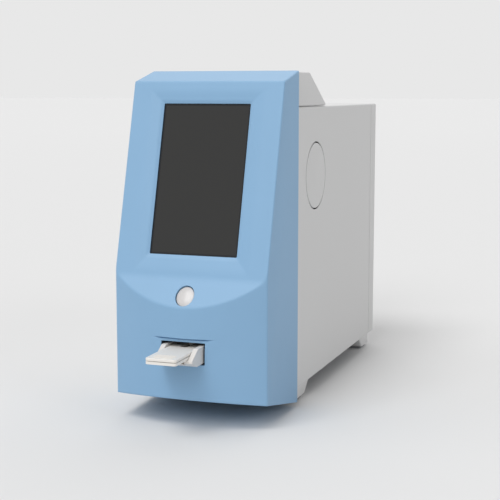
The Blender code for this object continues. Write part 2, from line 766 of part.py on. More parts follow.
def make_bezel(datum, screen, chin):
    bm = new_mesh()
    prism(bm, bezel_profile(), X, -HALF_BEZEL - OVERRUN, HALF_BEZEL + OVERRUN)
    bezel = solid("front_bezel", bm, BLUE, datum)
    bm = new_mesh()
    full_height(bm, bezel_plan())
    combine(bezel, guide("front_bezel.plan", bm, datum), "INTERSECT")
    soften(bezel, BEZEL_EDGE, 2, math.radians(50))

    bm = new_mesh()
    prism(bm, bezel_profile(BEZEL_WALL), X, -HALF_BEZEL - OVERRUN, HALF_BEZEL + OVERRUN)
    cavity = guide("front_bezel.cavity", bm, datum)
    bm = new_mesh()
    full_height(bm, bezel_plan(BEZEL_WALL))
    combine(cavity, guide("front_bezel.cavity_plan", bm, datum), "INTERSECT")
    combine(bezel, cavity, "DIFFERENCE")

    bm = new_mesh()
    block(bm, (-BEZEL_WIDTH, 0, -BEZEL_WIDTH), (BEZEL_WIDTH, BEZEL_WIDTH, BEZEL_TOP + BEZEL_WIDTH))
    cut(bezel, bm, datum)

    cut_screen_opening(bezel, screen)
    cut_slot(bezel, datum)
    bm = new_mesh()
    hole = BUTTON_RADIUS + SEAT + COLLAR_WALL + SEAT
    rod(bm, (0, -OVERRUN, 0), hole, BEZEL_WALL + OVERRUN * 2, Y, 32)
    cut(bezel, bm, chin)
    add_bezel_bosses(bezel, datum, screen, chin)
    return bezel


def cut_funnel(bezel, screen, wide, tight, start, end):
    """Cuts sloping walls between two outlines, carried on along the same slope in front of the wider one."""
    flare = 1 + OVERRUN / (end - start)
    above = [(t[0] + (w[0] - t[0]) * flare, t[1] + (w[1] - t[1]) * flare) for w, t in zip(wide, tight)]
    bm = new_mesh()
    loft(bm, above, tight, Y, start - OVERRUN, end)
    cut(bezel, bm, screen)


def cut_screen_opening(bezel, screen):
    """The dished surround with its steeper rim, the opening, and the rebate that takes the glass from behind."""
    outer_width = OPENING_WIDTH + 2 * DISH_SIDE
    outer_height = OPENING_HEIGHT + DISH_TOP + DISH_BOTTOM
    shift = (DISH_TOP - DISH_BOTTOM) / 2
    wide = rounded(outer_width, outer_height, DISH_RADIUS, 3, (0, shift))
    rim_width = OPENING_WIDTH + 2 * DISH_RIM_WIDTH
    rim_height = OPENING_HEIGHT + 2 * DISH_RIM_WIDTH
    rim = rounded(rim_width, rim_height, DISH_RIM_RADIUS, 3)
    tight = rounded(OPENING_WIDTH, OPENING_HEIGHT, OPENING_RADIUS, 3)
    rim_start = DISH_DEPTH - DISH_RIM_DEPTH
    cut_funnel(bezel, screen, wide, rim, 0, rim_start)
    cut_funnel(bezel, screen, rim, tight, rim_start, DISH_DEPTH)
    bm = new_mesh()
    prism(bm, tight, Y, 0, SCREEN_WALL + OVERRUN)
    cut(bezel, bm, screen)
    rebate = rounded(
        OPENING_WIDTH + 2 * (GLASS_MARGIN + SEAT), OPENING_HEIGHT + 2 * (GLASS_MARGIN + SEAT), OPENING_RADIUS
    )
    bm = new_mesh()
    prism(bm, rebate, Y, DISH_DEPTH + SCREEN_LIP, SCREEN_WALL + OVERRUN)
    cut(bezel, bm, screen)


def cut_slot(bezel, datum):
    """The flat scoop that fades out below its ledge, and the cassette slot through it."""
    ledge = SLOT_TOP + SCOOP_ABOVE_SLOT
    back = FACE_Y + SCOOP_DEPTH
    fade = SCOOP_DEPTH / SCOOP_FADE
    low = ledge - (SCOOP_DEPTH + OVERRUN) / fade
    bm = new_mesh()
    prism(bm, [(back, ledge), (FACE_Y - OVERRUN, ledge), (FACE_Y - OVERRUN, low)], X, -HALF_BEZEL, HALF_BEZEL)
    cut(bezel, bm, datum)
    bm = new_mesh()
    block(
        bm,
        (-SLOT_HALF, FACE_Y - OVERRUN, SLOT_BOTTOM),
        (SLOT_HALF, FACE_Y + BULGE / 2, SLOT_TOP),
    )
    cut(bezel, bm, datum)


def add_bezel_bosses(bezel, datum, screen, chin):
    """Screw bosses: six against the front frame, four for the display pan, two for the button board."""
    side = HALF_BEZEL - BEZEL_WALL - SHELL_BOSS_RADIUS + BITE
    reach = FRAME_DEPTH - SEAT
    bm = new_mesh()
    holes = new_mesh()
    for height in SHELL_BOSS_HEIGHTS:
        for sign in (-1, 1):
            start = (sign * side, reach - SHELL_BOSS_LENGTH, height)
            rod(bm, start, SHELL_BOSS_RADIUS, SHELL_BOSS_LENGTH, Y, 16)
            mouth = (sign * side, reach - SHELL_BOSS_LENGTH / 2, height)
            rod(holes, mouth, SHELL_BOSS_HOLE, SHELL_BOSS_LENGTH, Y, 12)
    fuse(bezel, bm, datum)
    cut(bezel, holes, datum)
    bm = new_mesh()
    for x in (-1, 1):
        for z in (-1, 1):
            foot = (x * ear_centre_x(), SCREEN_WALL - BITE, z * EAR_HEIGHT)
            rod(bm, foot, EAR_BOSS_RADIUS, ear_depth() - SEAT - SCREEN_WALL + BITE, Y, 12)
    fuse(bezel, bm, screen)
    bm = new_mesh()
    for x in (-1, 1):
        foot = (x * button_boss_x(), BEZEL_WALL - BITE, 0)
        rod(bm, foot, BUTTON_BOSS_RADIUS, BUTTON_BOSS_REACH - SEAT - BEZEL_WALL + BITE, Y, 12)
    fuse(bezel, bm, chin)


# Display stack, in the screen's own frame: X across, Y inward, Z up the slope
def glass_depth():
    return DISH_DEPTH + SCREEN_LIP + SEAT


def panel_depth():
    return glass_depth() + GLASS_THICKNESS + SEAT


def pan_back():
    return panel_depth() + PANEL_THICKNESS + SEAT


def pan_half_width():
    return PANEL_WIDTH / 2 + SEAT + PAN_WALL


def ear_depth():
    return pan_back() - PAN_WALL


def ear_centre_x():
    return pan_half_width() + EAR_WIDTH / 2


def make_display(screen):
    bm = new_mesh()
    width = OPENING_WIDTH + 2 * GLASS_MARGIN
    height = OPENING_HEIGHT + 2 * GLASS_MARGIN
    start = glass_depth()
    prism(bm, rounded(width, height, OPENING_RADIUS), Y, start, start + GLASS_THICKNESS)
    solid("display_glass", bm, GLASS, screen)

    bm = new_mesh()
    start = panel_depth()
    slab(
        bm,
        (0, start + PANEL_THICKNESS / 2, 0),
        (PANEL_WIDTH - 2 * PAN_WALL, PANEL_THICKNESS, PANEL_HEIGHT - 2 * PAN_WALL),
    )
    solid("display_panel", bm, BLACK, screen)

    make_display_pan(screen)

    bm = new_mesh()
    start = pan_back() + PAN_WALL + SEAT
    size = (DISPLAY_BOARD_WIDTH, BOARD_THICKNESS, DISPLAY_BOARD_HEIGHT)
    slab(bm, (0, start + BOARD_THICKNESS / 2, 0), size)
    board = solid("display_board", bm, BOARD, screen)
    back = start + BOARD_THICKNESS
    bm = new_mesh()
    chip = DISPLAY_BOARD_WIDTH / 4
    slab(bm, (0, back, DISPLAY_BOARD_HEIGHT / 6), (chip, 2 * PAN_WALL, chip))
    header = RIBBON_WIDTH + 2 * PAN_WALL
    slab(bm, (-chip, back, -DISPLAY_BOARD_HEIGHT / 4), (chip / 2, 4 * PAN_WALL, header))
    slab(bm, (chip, back, -DISPLAY_BOARD_HEIGHT / 4), (chip / 2, 4 * PAN_WALL, header / 2))
    fuse(board, bm, screen)


def make_display_pan(screen):
    """Pressed steel pan round the panel, open to the front, with four screwed ears."""
    half = pan_half_width()
    tall = PANEL_HEIGHT / 2 + SEAT + PAN_WALL
    front = SCREEN_WALL + SEAT
    back = pan_back() + PAN_WALL
    bm = new_mesh()
    block(bm, (-half, front, -tall), (half, back, tall))
    pan = solid("display_pan", bm, STEEL, screen)
    bm = new_mesh()
    inner_half = half - PAN_WALL
    inner_tall = tall - PAN_WALL
    block(bm, (-inner_half, front - OVERRUN, -inner_tall), (inner_half, pan_back(), inner_tall))
    cut(pan, bm, screen)
    bm = new_mesh()
    window = rounded(PAN_WINDOW_WIDTH, PAN_WINDOW_HEIGHT, EAR_BOSS_RADIUS)
    prism(bm, window, Y, pan_back() - OVERRUN, back + OVERRUN)
    cut(pan, bm, screen)
    bm = new_mesh()
    for x in (-1, 1):
        for z in (-1, 1):
            middle = x * (half + EAR_WIDTH / 2 - BITE / 2)
            outline = rounded(EAR_WIDTH + BITE, EAR_LENGTH, EAR_BOSS_RADIUS, 2, (middle, z * EAR_HEIGHT))
            prism(bm, outline, Y, ear_depth(), back)
    fuse(pan, bm, screen)


# Power button, in the chin facet's own frame: Y inward along the button's travel
def button_boss_x():
    return BUTTON_BOARD_WIDTH / 2 - BUTTON_BOSS_RADIUS


def stem_tip():
    return BUTTON_LENGTH - BUTTON_PROUD + BUTTON_STEM_LENGTH


def make_button(chin):
    rim = -BUTTON_PROUD + BUTTON_DOME
    tail = BUTTON_LENGTH - BUTTON_PROUD
    dome_radius = (BUTTON_RADIUS ** 2 + BUTTON_DOME ** 2) / (2 * BUTTON_DOME)
    swing = math.asin(BUTTON_RADIUS / dome_radius)
    dome = [(0.0, -BUTTON_PROUD)]
    for k in range(1, 6):
        turn = swing * k / 5
        depth = -BUTTON_PROUD + dome_radius * (1 - math.cos(turn))
        dome.append((dome_radius * math.sin(turn), depth))
    bm = new_mesh()
    profile = dome + [
        (BUTTON_RADIUS, rim + BUTTON_DOME / 2),
        (BUTTON_RADIUS, tail),
        (BUTTON_STEM_RADIUS, tail),
        (BUTTON_STEM_RADIUS, stem_tip()),
        (0.0, stem_tip()),
    ]
    turned(bm, profile, Y, segments=32)
    solid("power_button", bm, BUTTON, chin)

    bore = BUTTON_RADIUS + SEAT
    tube = bore + COLLAR_WALL
    flange = tube + COLLAR_FLANGE
    seat = BEZEL_WALL + SEAT
    bm = new_mesh()
    profile = [
        (tube, 0.0),
        (tube, seat),
        (flange, seat),
        (flange, seat + COLLAR_FLANGE_THICKNESS),
        (tube, seat + COLLAR_FLANGE_THICKNESS),
        (tube, COLLAR_LENGTH),
        (bore, COLLAR_LENGTH),
        (bore, 0.0),
    ]
    turned(bm, profile, Y, segments=32)
    solid("button_collar", bm, BLACK, chin)

    front = stem_tip() - SWITCH_WELL + BUTTON_TRAVEL
    bm = new_mesh()
    slab(bm, (0, front + SWITCH_THICKNESS / 2, 0), (SWITCH_WIDTH, SWITCH_THICKNESS, SWITCH_WIDTH))
    switch = solid("button_switch", bm, BLACK, chin)
    bm = new_mesh()
    well = BUTTON_TRAVEL + SEAT + SWITCH_WELL - BUTTON_TRAVEL
    rod(bm, (0, front - OVERRUN, 0), BUTTON_STEM_RADIUS + SEAT, OVERRUN + well, Y, 24)
    cut(switch, bm, chin)

    bm = new_mesh()
    start = front + SWITCH_THICKNESS + SEAT
    slab(
        bm,
        (0, start + BOARD_THICKNESS / 2, 0),
        (BUTTON_BOARD_WIDTH, BOARD_THICKNESS, BUTTON_BOARD_HEIGHT),
    )
    solid("button_board", bm, BOARD, chin)


# Cassette, with its origin at the middle of its underside's front edge
def make_cassette(datum):
    place = (0, CASSETTE_TIP_Y, CASSETTE_Z)
    middle = CASSETTE_LENGTH / 2
    shape = rounded(CASSETTE_WIDTH, CASSETTE_LENGTH, CASSETTE_RADIUS, 4, (0, middle))
    bm = new_mesh()
    prism(bm, shape, Z, 0, CASSETTE_BASE)
    base = solid("cassette_base", bm, CARD, datum, place)
    bm = new_mesh()
    bed_width = STRIP_WIDTH + 2 * SEAT
    bed_length = STRIP_LENGTH + 2 * SEAT
    floor = CASSETTE_BASE - STRIP_BED
    block(
        bm,
        (-bed_width / 2, middle - bed_length / 2, floor),
        (bed_width / 2, middle + bed_length / 2, CASSETTE_BASE + OVERRUN),
    )
    cut(base, bm, datum, place)

    bm = new_mesh()
    slab(bm, (0, middle, floor + SEAT + STRIP_THICKNESS / 2), (STRIP_WIDTH, STRIP_LENGTH, STRIP_THICKNESS))
    solid("test_strip", bm, PAPER, datum, place)

    seam = CASSETTE_BASE + SEAT
    crown = seam + CASSETTE_TOP
    bm = new_mesh()
    prism(bm, shape, Z, seam, crown)
    top = solid("cassette_top", bm, CARD, datum, place)
    soften(top, SEAT)
    bm = new_mesh()
    corner = WINDOW_WIDTH / 4
    place_on_top = (0, WINDOW_FROM_TIP)
    window = rounded(WINDOW_WIDTH, WINDOW_LENGTH, corner, 2, place_on_top)
    spread = CASSETTE_TOP
    flare = rounded(WINDOW_WIDTH + spread, WINDOW_LENGTH + spread, corner, 2, place_on_top)
    loft(bm, window, flare, Z, seam - OVERRUN, crown + OVERRUN)
    mouth = WELL_RADIUS + OVERRUN / 3
    funnel = [(0, -OVERRUN), (WELL_RADIUS * 2 / 3, -OVERRUN), (mouth, crown + OVERRUN), (0, crown + OVERRUN)]
    turned(bm, funnel, Z, (0, WELL_FROM_TIP, 0), 20)
    cut(top, bm, datum, place)
    bm = new_mesh()
    for k in range(GRIP_RIB_COUNT):
        along = GRIP_FROM_TIP + k * GRIP_RIB_PITCH
        slab(bm, (0, along, crown), (GRIP_RIB_LENGTH, GRIP_RIB_HEIGHT * 2, GRIP_RIB_HEIGHT * 2))
    fuse(top, bm, datum, place)


# Tray and its drive
def make_tray(datum):
    nose_z = TRAY_BOTTOM + CHIN_RISE
    side = [
        (TRAY_END_Y, TRAY_BOTTOM),
        (TRAY_FRONT_Y + CHIN_RUN, TRAY_BOTTOM),
        (TRAY_FRONT_Y, nose_z),
        (TRAY_FRONT_Y, nose_z + NOSE_FACE),
        (TRAY_FRONT_Y + RAMP_RUN, TRAY_TOP),
        (TRAY_END_Y, TRAY_TOP),
    ]
    bm = new_mesh()
    prism(bm, side, X, -TRAY_HALF, TRAY_HALF)
    tray = solid("cassette_tray", bm, WHITE, datum)
    rear = CASSETTE_END_Y + SEAT
    ahead = TRAY_FRONT_Y - OVERRUN
    step = CHANNEL_HALF - LEDGE_WIDTH
    bm = new_mesh()
    channel = mirrored([
        (CHANNEL_HALF, TRAY_TOP + OVERRUN),
        (CHANNEL_HALF, LEDGE_Z),
        (step, LEDGE_Z),
        (step, TRAY_FLOOR_TOP),
    ])
    prism(bm, channel, Y, ahead, rear)
    cut(tray, bm, datum)

    left_front = TRAY_FRONT_Y + LEFT_WALL_BACK
    bm = new_mesh()
    ramp = [
        (ahead, nose_z + NOSE_FACE),
        (left_front, nose_z + NOSE_FACE),
        (left_front + RAMP_RUN, TRAY_TOP),
        (left_front + RAMP_RUN, TRAY_TOP + OVERRUN),
        (ahead, TRAY_TOP + OVERRUN),
    ]
    prism(bm, ramp, X, -TRAY_HALF - OVERRUN, -CHANNEL_HALF + BITE)
    cut(tray, bm, datum)

    bm = new_mesh()
    pocket_front = rear + TRAY_WALL
    pocket_rear = min(pocket_front + TAIL_POCKET_LENGTH, TRAY_END_Y - TRAY_WALL)
    web = TRAY_WALL / 2
    for sign in (-1, 1):
        inner, outer = sorted((sign * web, sign * CHANNEL_HALF))
        block(bm, (inner, pocket_front, TRAY_FLOOR_TOP), (outer, pocket_rear, TRAY_TOP + OVERRUN))
    cut(tray, bm, datum)
    bm = new_mesh()
    flag_top = LEDGE_Z
    block(
        bm,
        (-TRAY_HALF - FLAG_WIDTH, TRAY_END_Y - FLAG_LENGTH, flag_top - FLAG_THICKNESS),
        (-TRAY_HALF + BITE, TRAY_END_Y, flag_top),
    )
    fuse(tray, bm, datum)
    soften(tray, SEAT)


def rack_outline():
    """Rack in plan as (side, depth): a straight back and teeth that face the pinion."""
    lean = math.tan(PRESSURE_ANGLE) * GEAR_MODULE
    half = PITCH / 4 - BACKLASH / 2
    tip = PITCH_LINE_X + TOOTH_TIP_SHARE * GEAR_MODULE
    tip_half = half - lean * TOOTH_TIP_SHARE
    root_half = half + lean * TOOTH_ROOT_SHARE
    points = [(RACK_X, RACK_FRONT_Y)]
    for k in range(RACK_TEETH):
        middle = RACK_FRONT_Y + (k + 1 / 2) * PITCH
        points += [
            (RACK_ROOT_X, middle - root_half),
            (tip, middle - tip_half),
            (tip, middle + tip_half),
            (RACK_ROOT_X, middle + root_half),
        ]
    return points + [(RACK_X, RACK_END_Y)]


def pinion_y():
    """The pinion stands at a tooth space of the rack, about its own radius from the rack's rear end."""
    spaces = round((PINION_RADIUS + PITCH) / PITCH)
    return RACK_END_Y - spaces * PITCH


def pinion_outline():
    """Involute pinion in plan about its axis, with one tooth pointing at the rack."""
    base = PINION_RADIUS * math.cos(PRESSURE_ANGLE)
    tip = PINION_RADIUS + TOOTH_TIP_SHARE * GEAR_MODULE
    root = PINION_RADIUS - TOOTH_ROOT_SHARE * GEAR_MODULE
    half = math.pi / (2 * PINION_TEETH) - BACKLASH / (2 * PINION_RADIUS)

    def involute(angle):
        return math.tan(angle) - angle

    flank = [(root, half + involute(PRESSURE_ANGLE))]
    for k in range(4):
        radius = base + (tip - base) * k / 3
        spread = math.acos(min(1.0, base / radius))
        flank.append((radius, half + involute(PRESSURE_ANGLE) - involute(spread)))
    points = []
    for tooth in range(PINION_TEETH):
        middle = math.pi + tooth * 2 * math.pi / PINION_TEETH
        for radius, turn in flank:
            points.append((radius * math.cos(middle - turn), radius * math.sin(middle - turn)))
        for radius, turn in reversed(flank):
            points.append((radius * math.cos(middle + turn), radius * math.sin(middle + turn)))
    return points


def make_drive(datum):
    bm = new_mesh()
    prism(bm, rack_outline(), Z, RACK_Z, RACK_Z + RACK_HEIGHT)
    solid("tray_rack", bm, ACETAL, datum)

    axis = (PINION_X, pinion_y(), 0)
    bm = new_mesh()
    prism(bm, pinion_outline(), Z, RACK_Z, RACK_Z + RACK_HEIGHT)
    pinion = solid("drive_pinion", bm, ACETAL, datum, axis)
    bm = new_mesh()
    rod(bm, (0, 0, RACK_Z - PINION_HUB_HEIGHT), PINION_HUB_RADIUS, PINION_HUB_HEIGHT + BITE, Z)
    fuse(pinion, bm, datum, axis)
    bm = new_mesh()
    bore = SHAFT_RADIUS + SEAT
    length = PINION_HUB_HEIGHT + RACK_HEIGHT + 2 * OVERRUN
    rod(bm, (0, 0, RACK_Z - PINION_HUB_HEIGHT - OVERRUN), bore, length, Z)
    cut(pinion, bm, datum, axis)

    shaft_low = DECK_TOP - DECK_SHEET - MOTOR_LENGTH / 2
    shaft_high = RACK_Z + RACK_HEIGHT + SHAFT_RADIUS
    bm = new_mesh()
    rod(bm, (0, 0, shaft_low), SHAFT_RADIUS, shaft_high - shaft_low, Z, 16)
    solid("motor_shaft", bm, STEEL, datum, axis)

    top = DECK_TOP - DECK_SHEET - SEAT
    bm = new_mesh()
    corner = MOTOR_CORNER
    half = MOTOR_SIZE / 2
    case = [
        (half - corner, half), (half, half - corner), (half, corner - half), (half - corner, -half),
        (corner - half, -half), (-half, corner - half), (-half, half - corner), (corner - half, half),
    ]
    prism(bm, case, Z, top - MOTOR_LENGTH, top)
    motor = solid("stepper_motor", bm, DARK_METAL, datum, axis)
    bm = new_mesh()
    rod(bm, (0, 0, top - BITE), MOTOR_BOSS_RADIUS, MOTOR_BOSS_HEIGHT + BITE, Z)
    fuse(motor, bm, datum, axis)
    bm = new_mesh()
    rod(bm, (0, 0, shaft_low - SEAT), SHAFT_RADIUS + SEAT, MOTOR_LENGTH, Z, 16)
    cut(motor, bm, datum, axis)


# Transport deck with guide and sensor
def make_transport(datum):
    make_deck(datum)
    rail_top = DECK_TOP + SEAT + RAIL_HEIGHT
    half = RAIL_WIDTH / 2
    waist = half - RAIL_GROOVE
    third = RAIL_HEIGHT / 3
    low = DECK_TOP + SEAT
    bm = new_mesh()
    section = mirrored([
        (half, rail_top),
        (half, rail_top - third),
        (waist, rail_top - third * 3 / 2),
        (half, low + third),
        (half, low),
    ])
    prism(bm, section, Y, -RAIL_FRONT, RAIL_REAR)
    solid("guide_rail", bm, STEEL, datum)

    top = TRAY_BOTTOM - SEAT
    end = TRAY_END_Y - CARRIAGE_FROM_TAIL
    bm = new_mesh()
    block(
        bm,
        (-CARRIAGE_WIDTH / 2, end - CARRIAGE_LENGTH, low + CARRIAGE_CLEAR),
        (CARRIAGE_WIDTH / 2, end, top),
    )
    carriage = solid("guide_carriage", bm, ZINC, datum)
    bm = new_mesh()
    channel = half + SEAT
    block(
        bm,
        (-channel, end - CARRIAGE_LENGTH - OVERRUN, low),
        (channel, end + OVERRUN, rail_top + SEAT),
    )
    cut(carriage, bm, datum)
    make_sensor(datum)


def make_deck(datum):
    """Folded steel deck that stands on the chassis floor and reaches forward into the bezel."""
    half = DECK_WIDTH / 2
    under = DECK_TOP - DECK_SHEET
    floor = BODY_BOTTOM + CHASSIS_SHEET + SEAT
    bm = new_mesh()
    block(bm, (-half, -DECK_FRONT, under), (half, DECK_REAR, DECK_TOP))
    deck = solid("transport_deck", bm, ZINC, datum)
    bm = new_mesh()
    for sign in (-1, 1):
        outer = sign * half
        inner = sign * (half - DECK_SHEET)
        toe = sign * (half - DECK_FOOT)
        outline = [
            (outer, under + BITE), (inner, under + BITE), (inner, floor + DECK_SHEET),
            (toe, floor + DECK_SHEET), (toe, floor), (outer, floor),
        ]
        prism(bm, outline, Y, DECK_LEG_FRONT, DECK_REAR)
    fuse(deck, bm, datum)
    bm = new_mesh()
    rod(
        bm,
        (PINION_X, pinion_y(), under - OVERRUN),
        MOTOR_BOSS_RADIUS + SEAT,
        DECK_SHEET + 2 * OVERRUN,
        Z,
    )
    cut(deck, bm, datum)


def make_sensor(datum):
    """Slotted light barrier on a riser. The tray's flag stands in its slot when the tray is home."""
    flag_z = LEDGE_Z - FLAG_THICKNESS / 2
    middle_y = TRAY_END_Y + TRAY_TRAVEL - FLAG_LENGTH / 2
    right = -TRAY_HALF - SEAT * 2
    left = right - SENSOR_WIDTH
    jaw = SENSOR_JAW / 2
    low = flag_z - jaw - SENSOR_LEG
    high = flag_z + jaw + SENSOR_LEG
    bm = new_mesh()
    block(bm, (left, middle_y - SENSOR_LENGTH / 2, low), (right, middle_y + SENSOR_LENGTH / 2, high))
    sensor = solid("home_sensor", bm, BLACK, datum)
    bm = new_mesh()
    block(
        bm,
        (right - SENSOR_REACH, middle_y - SENSOR_LENGTH, flag_z - jaw),
        (right + OVERRUN, middle_y + SENSOR_LENGTH, flag_z + jaw),
    )
    cut(sensor, bm, datum)

    foot = DECK_TOP + SEAT
    bm = new_mesh()
    outline = [
        (left, low - SEAT), (right, low - SEAT), (right, low - SEAT - DECK_SHEET),
        (left + DECK_SHEET, low - SEAT - DECK_SHEET), (left + DECK_SHEET, foot + DECK_SHEET),
        (right, foot + DECK_SHEET), (right, foot), (left, foot),
    ]
    prism(bm, outline, Y, middle_y - SENSOR_LENGTH / 2, middle_y + SENSOR_LENGTH / 2)
    solid("sensor_bracket", bm, ZINC, datum)


# Optical head over the read position
def bridge_underside():
    return TRAY_TOP + BRIDGE_GAP_OVER_TRAY


def make_optics(datum):
    middle = -OPTICS_DEPTH
    low = bridge_underside()
    foot = DECK_TOP + SEAT
    half = BRIDGE_WIDTH / 2
    inner = half - BRIDGE_SHEET
    toe = half + BRIDGE_FOOT
    arch = mirrored([
        (half, low + BRIDGE_SHEET), (half, foot + BRIDGE_SHEET), (toe, foot + BRIDGE_SHEET),
        (toe, foot), (inner, foot), (inner, low),
    ])
    bm = new_mesh()
    prism(bm, arch, Y, middle - BRIDGE_LENGTH / 2, middle + BRIDGE_LENGTH / 2)
    bridge = solid("optics_bridge", bm, ZINC, datum)
    bm = new_mesh()
    rod(bm, (0, middle, low - OVERRUN), LIGHT_HOLE_RADIUS, BRIDGE_SHEET + 2 * OVERRUN, Z)
    cut(bridge, bm, datum)

    base = low + BRIDGE_SHEET + SEAT
    top = base + HEAD_HEIGHT
    chamfer = HEAD_CHAMFER
    front = middle - HEAD_LENGTH / 2
    back = middle + HEAD_LENGTH / 2
    bm = new_mesh()
    side = [(back, base), (front, base), (front, top - chamfer), (front + chamfer, top), (back, top)]
    prism(bm, side, X, -HEAD_WIDTH / 2, HEAD_WIDTH / 2)
    head = solid("optical_head", bm, BLACK, datum)
    soften(head, HEAD_EDGE)
    bm = new_mesh()
    wide = BARREL_RADIUS + SEAT
    depth = BARREL_LENGTH + SEAT
    bore = [
        (0, -OVERRUN), (wide, -OVERRUN), (wide, depth), (BEAM_RADIUS, depth),
        (BEAM_RADIUS, HEAD_HEIGHT + OVERRUN), (0, HEAD_HEIGHT + OVERRUN),
    ]
    turned(bm, bore, Z, (0, middle, base), 32)
    cut(head, bm, datum)

    bm = new_mesh()
    bore = BEAM_RADIUS
    profile = [
        (BARREL_RADIUS, 0.0),
        (BARREL_RADIUS, BARREL_LENGTH - BARREL_STEP),
        (BARREL_RADIUS - BARREL_STEP, BARREL_LENGTH),
        (bore, BARREL_LENGTH),
        (bore, BARREL_STEP),
        (bore + BARREL_STEP, 0.0),
    ]
    turned(bm, profile, Z, (0, middle, base), 32)
    solid("lens_barrel", bm, DARK_METAL, datum)

    lamp = empty("lamp_axis", datum, (0, front + chamfer / 2, top - chamfer / 2), -math.pi / 4)
    bm = new_mesh()
    rod(bm, (0, -OVERRUN, 0), LAMP_HOLE_RADIUS, OVERRUN + chamfer / 2, Y)
    cut(head, bm, lamp)
    rod_depth = -LED_CAN_HEIGHT - SEAT
    bm = new_mesh()
    slab(
        bm,
        (0, rod_depth - BOARD_THICKNESS / 2, 0),
        (LED_BOARD_WIDTH, BOARD_THICKNESS, LED_BOARD_HEIGHT),
    )
    board = solid("excitation_board", bm, BOARD, lamp)
    bm = new_mesh()
    rod(bm, (0, rod_depth - BITE, 0), LED_CAN_RADIUS, LED_CAN_HEIGHT + BITE, Y)
    fuse(board, bm, lamp)

    start = top + SEAT
    bm = new_mesh()
    slab(
        bm,
        (0, middle + DETECTOR_SETBACK, start + BOARD_THICKNESS / 2),
        (DETECTOR_BOARD_WIDTH, DETECTOR_BOARD_LENGTH, BOARD_THICKNESS),
    )
    board = solid("detector_board", bm, BOARD, datum)
    bm = new_mesh()
    can = start + BOARD_THICKNESS + DETECTOR_CAN_HEIGHT / 2
    slab(
        bm,
        (0, middle + DETECTOR_SETBACK, can - BITE / 2),
        (DETECTOR_CAN_WIDTH, DETECTOR_CAN_LENGTH, DETECTOR_CAN_HEIGHT + BITE),
    )
    fuse(board, bm, datum)


# Body shell
def body_section(inset=0.0):
    """Line of the body's skin as (side, height): an inverted U that is open at the bottom."""
    half = HALF_BODY - inset
    top = BODY_TOP - inset
    radius = max(CORNER_RADIUS - inset, SEAT)
    right = arc((half - radius, top - radius), radius, 0, math.pi / 2, 3)
    return right + [(-x, z) for x, z in reversed(right)]


def cover_front():
    return SEAT


def cap_front():
    return BODY_DEPTH - REAR_CAP_DEPTH


def make_body(datum):
    bm = new_mesh()
    outer = [(HALF_BODY, BODY_BOTTOM)] + body_section() + [(-HALF_BODY, BODY_BOTTOM)]
    inner_half = HALF_BODY - SHEET
    inner = [(inner_half, BODY_BOTTOM)] + body_section(SHEET) + [(-inner_half, BODY_BOTTOM)]
    prism(bm, outer + list(reversed(inner)), Y, cover_front(), cap_front() - SEAM_GAP)
    cover = solid("body_cover", bm, PAINT, datum)
    bm = new_mesh()
    block(
        bm,
        (-HATCH_WIDTH / 2, HATCH_FRONT, BODY_TOP - SHEET - OVERRUN),
        (HATCH_WIDTH / 2, HATCH_REAR, BODY_TOP + OVERRUN),
    )
    cut(cover, bm, datum)
    bm = new_mesh()
    rod(bm, (SIDE_SKIN - OVERRUN, ROLL_DEPTH, ROLL_HEIGHT), COVER_RADIUS + SEAT, SHEET + 2 * OVERRUN, X, 48)
    cut(cover, bm, datum)
    make_chassis(datum)
    make_front_frame(datum)
    make_rear_cap(datum)
    make_hood(datum)


def make_chassis(datum):
    half = SIDE_SKIN - SEAT
    wall = half - CHASSIS_SHEET
    floor = BODY_BOTTOM + CHASSIS_SHEET
    top = BODY_BOTTOM + CHASSIS_FLANGE
    front = FRAME_DEPTH + FRAME_SHEET + SEAT
    rear = cap_front() - SEAM_GAP
    bm = new_mesh()
    channel = mirrored([(wall, floor), (wall, top), (half, top), (half, BODY_BOTTOM)])
    prism(bm, channel, Y, front, rear)
    chassis = solid("base_chassis", bm, ZINC, datum)
    bm = new_mesh()
    sill = BODY_BOTTOM + FRONT_SILL
    block(bm, (-wall - BITE, front, floor - BITE), (wall + BITE, front + CHASSIS_SHEET, sill))
    fuse(chassis, bm, datum)


def make_front_frame(datum):
    """Upright sheet behind the bezel, with a low window for the transport and a high one for wiring."""
    half = SIDE_SKIN - SEAT
    low = BODY_BOTTOM
    top = BODY_TOP - SHEET - SEAT
    start = FRAME_DEPTH
    end = FRAME_DEPTH + FRAME_SHEET
    bm = new_mesh()
    block(bm, (-half, start, low), (half, end, top))
    frame = solid("front_frame", bm, ZINC, datum)
    bm = new_mesh()
    window = half - FRAME_RIM
    low_window = BODY_BOTTOM + FRONT_SILL
    height = FRAME_LOWER_TOP - low_window
    outline = rounded(2 * window, height, CORNER_RADIUS, 2, (0, low_window + height / 2))
    prism(bm, outline, Y, start - OVERRUN, end + OVERRUN)
    height = FRAME_UPPER_TOP - FRAME_UPPER_BOTTOM
    outline = rounded(2 * window, height, CORNER_RADIUS, 2, (0, FRAME_UPPER_BOTTOM + height / 2))
    prism(bm, outline, Y, start - OVERRUN, end + OVERRUN)
    cut(frame, bm, datum)


